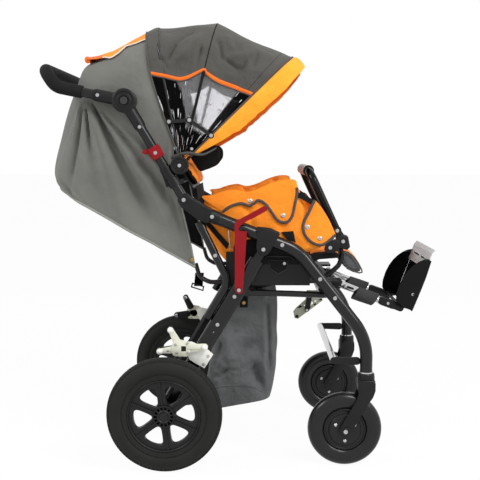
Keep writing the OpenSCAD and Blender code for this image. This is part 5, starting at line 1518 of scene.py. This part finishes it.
# brakes
brakeSet = {"pivot": (42.19, 327), "up": (15.2, 380), "front": (107.2, 333), "rear": (-14.8, 321), "y": 240.8,
            "plate": [(56, 346), (72, 346), (110, 329), (130, 311), (106, 272), (66, 295), (56, 318)],
            "hub": [(16, 320), (24, 308), (58, 306), (67, 316), (70, 338), (58, 350), (34, 354), (20, 344)],
            "arms": [("up", 25, 14, 5.5, 1.2), ("front", 24, 18, 7.5, 1.6), ("rear", 24, 13, 6.5, 1.2)],
            "rivets": [(28, 340, 9), (32, 318, 9), (62, 318, 9), (60, 343, 9), (8, 323, 6.5)], "ball": 8.4}
# arms: end, widths at the pivot and at the end, thickness, rounding


def ball(shape, x, z, y, r):
    lathe(shape, [(r * math.sin(math.pi * k / 12), -r * math.cos(math.pi * k / 12)) for k in range(13)], x, z,
          y, 1, 24)


build("brakePlates", "white", "rear_frame", [(plate, brakeSet["plate"], 236.4, 240.2, 0.8)], ["brake_plates"],
      40, True)
boltSet("plateScrews", [(116, 306, 240.2), (104, 283, 240.2)], "rear_frame", 4.6, 0.5)
for tag, side in sides:
    body = "brake_lever_" + tag
    pivot, y = brakeSet["pivot"], brakeSet["y"]

    def layer(outline, low, high, edge, segments=2):
        return plate, outline, side * (y + low), side * (y + high), edge, segments

    build("brakeArms" + tag, "cream", body,
          [layer(capsule(pivot, brakeSet[end], w0, w1), 0, deep, edge)
           for end, w0, w1, deep, edge in brakeSet["arms"]]
          + [layer(brakeSet["hub"], 1, 9, 1.6),
             layer([(60, 326), (98, 329), (98, 340), (60, 343)], 6.5, 10, 1.2)],
          ["brake_lever_" + tag])
    build("brakeBalls" + tag, "white", body, [(ball, *brakeSet[end], side * (y + 8), brakeSet["ball"])
                                              for end in ("up", "front", "rear")], (), 60)
    rows = [layer([(44, 322), (57, 322), (57, 336), (44, 336)], 8.6, 9.3, 0.2, 1)]
    for end, run in (("up", 0.45), ("rear", 0.4)):  # black cheeks on the inner side
        start = Vector(pivot).lerp(Vector(brakeSet[end]), run)
        rows.append(layer(capsule(start, brakeSet[end], 22, 18), -4.6, -0.2, 1.0))
    build("brakeCheeks" + tag, "plastic", body, rows)
    rivets = [(x, z, side * (y + out)) for x, z, out in brakeSet["rivets"]]
    boltSet("brakeRivets" + tag, rivets, body, 3.8, 1.8, both=False)
    build("brakeStuds" + tag, "chrome", body,
          [(lathe, [(0, 0), (5.5, 0), (5.5, 13), (4.6, 15), (0, 15)], *brakeSet[end], side * (y - 4.6),
            -side, 18)
           for end in ("up", "rear")], (), 30)
print("brakes made")

# bumper
bumperSet = {"at": (466, 645), "top": (391, 806), "cover": 15.5, "half": 134,
             "loop": [(476, 606), (483, 578), (474, 548), (450, 526), (424, 511)]}
cover, half = bumperSet["cover"], bumperSet["half"]
bar = [spot(*bumperSet["top"], half * (k / 12 - 1)) for k in range(25)]
build("bumperCover", "cover", "bumper", [(pipe, bar, cover, 8)], (), 40)
ring = [(11.4, 0), (cover, 0), (cover, 5), (11.4, 5)]
build("coverEnds", "plastic", "bumper",
      [(lathe, ring, *bumperSet["top"], y, 1, 28) for y in (-half - 5, half)], (), 30)
arm = capsule((478, 624), bumperSet["at"], 22, 20)
rows = [(plate, [(432, 592), (440, 582), (470, 590), (476, 612), (466, 622), (436, 616)], 184, 203, 2.5, 3),
        (plate, [(466, 600), (494, 592), (502, 600), (496, 630), (476, 636), (464, 628)], 166, 200, 3.0, 3),
        (plate, arm, 193.2, 197.2), (plate, arm, 165.8, 169.6)]
rows += [(pipe, roundPath([spot(x, z, y) for x, z in bumperSet["loop"]], [30, 30, 40], 6), 5.4, 5)
         for y in (172, 187)]
build("bumperClamps", "plastic", "seat", rows, ["bumper_brackets"], 35, True)
boltSet("bumperBolts", [(447, 599, 203), (482, 616, 200), (466, 645, 197.2)], "seat", 5.6, 3)
print("bumper made")

# hinges and clamps on the frame
hingeSet = {"cheek": [(40, 722), (42, 737), (49, 748), (60, 748), (74, 736), (112, 713), (107, 671),
                      (92, 676), (68, 695), (46, 711)],
            "block": [(90, 719), (112, 713), (128, 706), (120, 668), (107, 670), (92, 677), (86, 694)],
            "bracket": [(247, 657), (284, 653), (310, 641), (304, 630), (292, 610), (283, 593), (274, 583),
                        (261, 580), (250, 588), (246, 602), (248, 630)],
            "knob": [(24, -3), (24, 0.5), (22.5, 2.2), (19, 2.6), (17.5, 1.2), (15.5, 1.2), (14.5, 2.6),
                     (8.5, 3.0), (7.5, 1.4), (0, 1.4)],
            "disc": [(31.5, -2), (31.5, 0.8), (29.5, 2.4), (25, 2.8), (23.5, 1.2), (19.5, 1.2), (18, 2.4),
                     (13, 2.6), (11.4, 1.4), (10.8, 0.2)],
            "catch": [(146, -10), (163, -12), (168, -26), (164, -33), (156, -27), (150, -18)],
            "clamp": [(130, -12), (161, -12), (161, 15), (130, 15)],
            "y": 224}  # catch and clamp: run along the back tube, distance ahead of it
tubeY = hingeSet["y"]
build("backHinges", "plastic", "chassis", [
    (plate, hingeSet["cheek"], 236.9, 243.0, 2.4, 3), (plate, hingeSet["cheek"], 205.2, 211.1, 2.0),
    (plate, hingeSet["block"], 206, 242, 3.0, 3),
    (pipe, [spot(112, 692.6, tubeY), spot(146, 678.9, tubeY)], 18.6, 8),
], ["back_hinges"], 35, True)
build("legBrackets", "plastic", "chassis", [
    (plate, hingeSet["bracket"], 241.4, 246.2, 2.0, 3), (plate, hingeSet["bracket"], 202.8, 206.6, 1.4),
], ["leg_brackets"], 35, True)
for tag, side in sides:
    low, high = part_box("lock_lever_" + tag)
    face = max(abs(low[1]), abs(high[1])) * 1000 + 3.2
    boltSet("leverBolt" + tag, [(200.05, 490.4, side * face)], "rear_frame", 5.6, 3.2, both=False)
boltSet("hingeBolts", [(53, 731, 243), (265, 599, 246.2)], "chassis", 6.0, 3.2)


def collar(run0, run1, radius, sides=7):
    # sleeves round both back tubes
    return [(pipe, [onBack(run0, 0, side * tubeY), onBack(run1, 0, side * tubeY)], radius, sides)
            for side in (-1, 1)]


def tubeEnds(a, b, radius, sides=7):
    return [(pipe, [spot(*a, side * tubeY), spot(*b, side * tubeY)], radius, sides) for side in (-1, 1)]


def caps(rows, x, z, y):
    return [(lathe, rows, x, z, side * y, side, 40) for side in (-1, 1)]


def tubeBlock(outline, y0, y1):
    flat = [drawn(onBack(run, off)) for run, off in outline]
    return [(plate, flat, side * y0, side * y1, 2.0) for side in (-1, 1)]


build("backCollars", "plastic", "back", caps(hingeSet["knob"], *hoodSet["pivot"], 240) + collar(42, 66, 16.5)
      + collar(222, 228, 14.6) + collar(228, 276, 16.0)  # socket below the handle hinge
      + [(plate, [(-13.5, 817), (-4, 821), (17, 767), (6, 763)], side * 214, side * 226, 1.6)
         for side in (-1, 1)])
build("handleSockets", "plastic", "handle", tubeEnds((-131, 997.7), (-180, 1007.8), 16.0)
      + tubeEnds((-180, 1007.8), (-185, 1008.8), 14.6) + caps(hingeSet["disc"], -103, 992, 238))
boltSet("socketScrews", [(-62, 923, 239)], "back", 5.2, 2.6)
boltSet("gripScrews", [(-172, 1006, 239)], "handle", 5.2, 2.6)
boltSet("knobScrews", [(*hoodSet["pivot"], 241.2), (-21, 855, 241.4)], "back", 5.4, 2.8)
build("foldClamps", "red", "back", collar(129, 162, 17.4, 8) + tubeBlock(hingeSet["catch"], 217, 232)
      + tubeBlock(hingeSet["clamp"], 228, 241.4), ["fold_catches"])
build("strutTops", "paint", "rear_frame", tubeEnds((103, 649), (93, 672), 12.4, 6))
print("hinges made")

# small soft and wire pieces on the seat
seatTrim = {"pocket": [(279, 566), (333, 563), (330, 541), (306, 527), (284, 541)],
            "cover": [(186, 552), (184, 600), (190, 612), (214, 618), (240, 624), (268, 618), (300, 606),
                      (340, 596), (376, 584), (390, 566), (390, 552)],
            "patch": [(314, 641), (347, 644), (354, 613), (331, 620)],
            "strap": [(356, 748), (367, 749), (383, 740), (400, 729), (398, 714), (381, 724), (364, 733),
                      (354, 736)],
            "belt": [(103, 668), (116, 672), (172, 609), (166, 594)],
            "layers": [("pocket", 201.9, 204.4, 1.0, 2), ("patch", 197.0, 200.0, 0.6, 1),
                       ("cover", 199.2, 201.9, 1.0, 2), ("strap", 197.0, 200.4, 0.8, 1),
                       ("belt", 201.2, 203.6, 0.8, 1)],  # inner and outer y, rounding, its segments
            "ring": [(69, 494), (100, 485), (98, 474), (66, 484)], "buckleY": -165,
            "hook": [(268, 568), (276, 576), (340, 575), (350, 566)],
            "loop": [(168, 503), (118, 500), (90, 516), (80, 552)],
            "wires": [("hook", 203.6, [8, 8], 5, 1.7, 3), ("loop", 176, [40, 30], 6, 5.2, 5),
                      ("loop", 190, [40, 30], 6, 5.2, 5)]}  # y, bends and their steps, radius, sides
layers = [(plate, seatTrim[key], *row) for key, *row in seatTrim["layers"]]
build("seatTrim", "blackCloth", "seat", layers, both=True)
# a lighter grey cord round the pocket: a painted highlight along its edges
edge = [spot(x, z, 204.2) for x, z in seatTrim["pocket"]]
build("pocketPaintedHighlight", "sleeve", "seat", [(pipe, edge, 1.3, 3, True)], both=True)
boltSet("pocketSnaps", [(323, 556, 204.4)], "seat", 4.6, 2.2)
rows = []
for side in (-1, 1):
    for key, y, bends, steps, *size in seatTrim["wires"]:
        rows.append((pipe, roundPath([spot(x, z, side * y) for x, z in seatTrim[key]], bends, steps), *size))
build("seatWires", "paint", "seat", rows)
buckleY = seatTrim["buckleY"]
build("buckleStrap", "webbing", "seat",
      [(strap, [spot(89 - 0.6 * k, 524 - 6 * k, buckleY) for k in range(7)], 24, (1, 0, 0), 2.0)])
build("buckleRing", "plastic", "seat",
      [(pipe, [spot(x, z, buckleY) for x, z in seatTrim["ring"]], 2.6, 3, True)])
build("seatRods", "chrome", "seat", [(pipe, [spot(171, 646, side * 205.4), spot(173, 620, side * 205.8),
                                             spot(175, 593, side * 205.4)], 1.6, 3) for side in (-1, 1)])
print("trim made")

# bolts
boltSet("frameBolts", [(128.2, 686.1, 242.2), (315.3, 610.6, 241), (417.3, 518.6, 241), (457.7, 467, 241)],
        "chassis", 5.8, 3.4, stands=["frame_bolts"])
boltSet("legBolts", [(187.7, 469.8, 236), (141.5, 392.6, 236), (136, 581.4, 235)], "rear_frame", 5.8, 3.4,
        stands=["leg_bolts"])
print("bolts made")
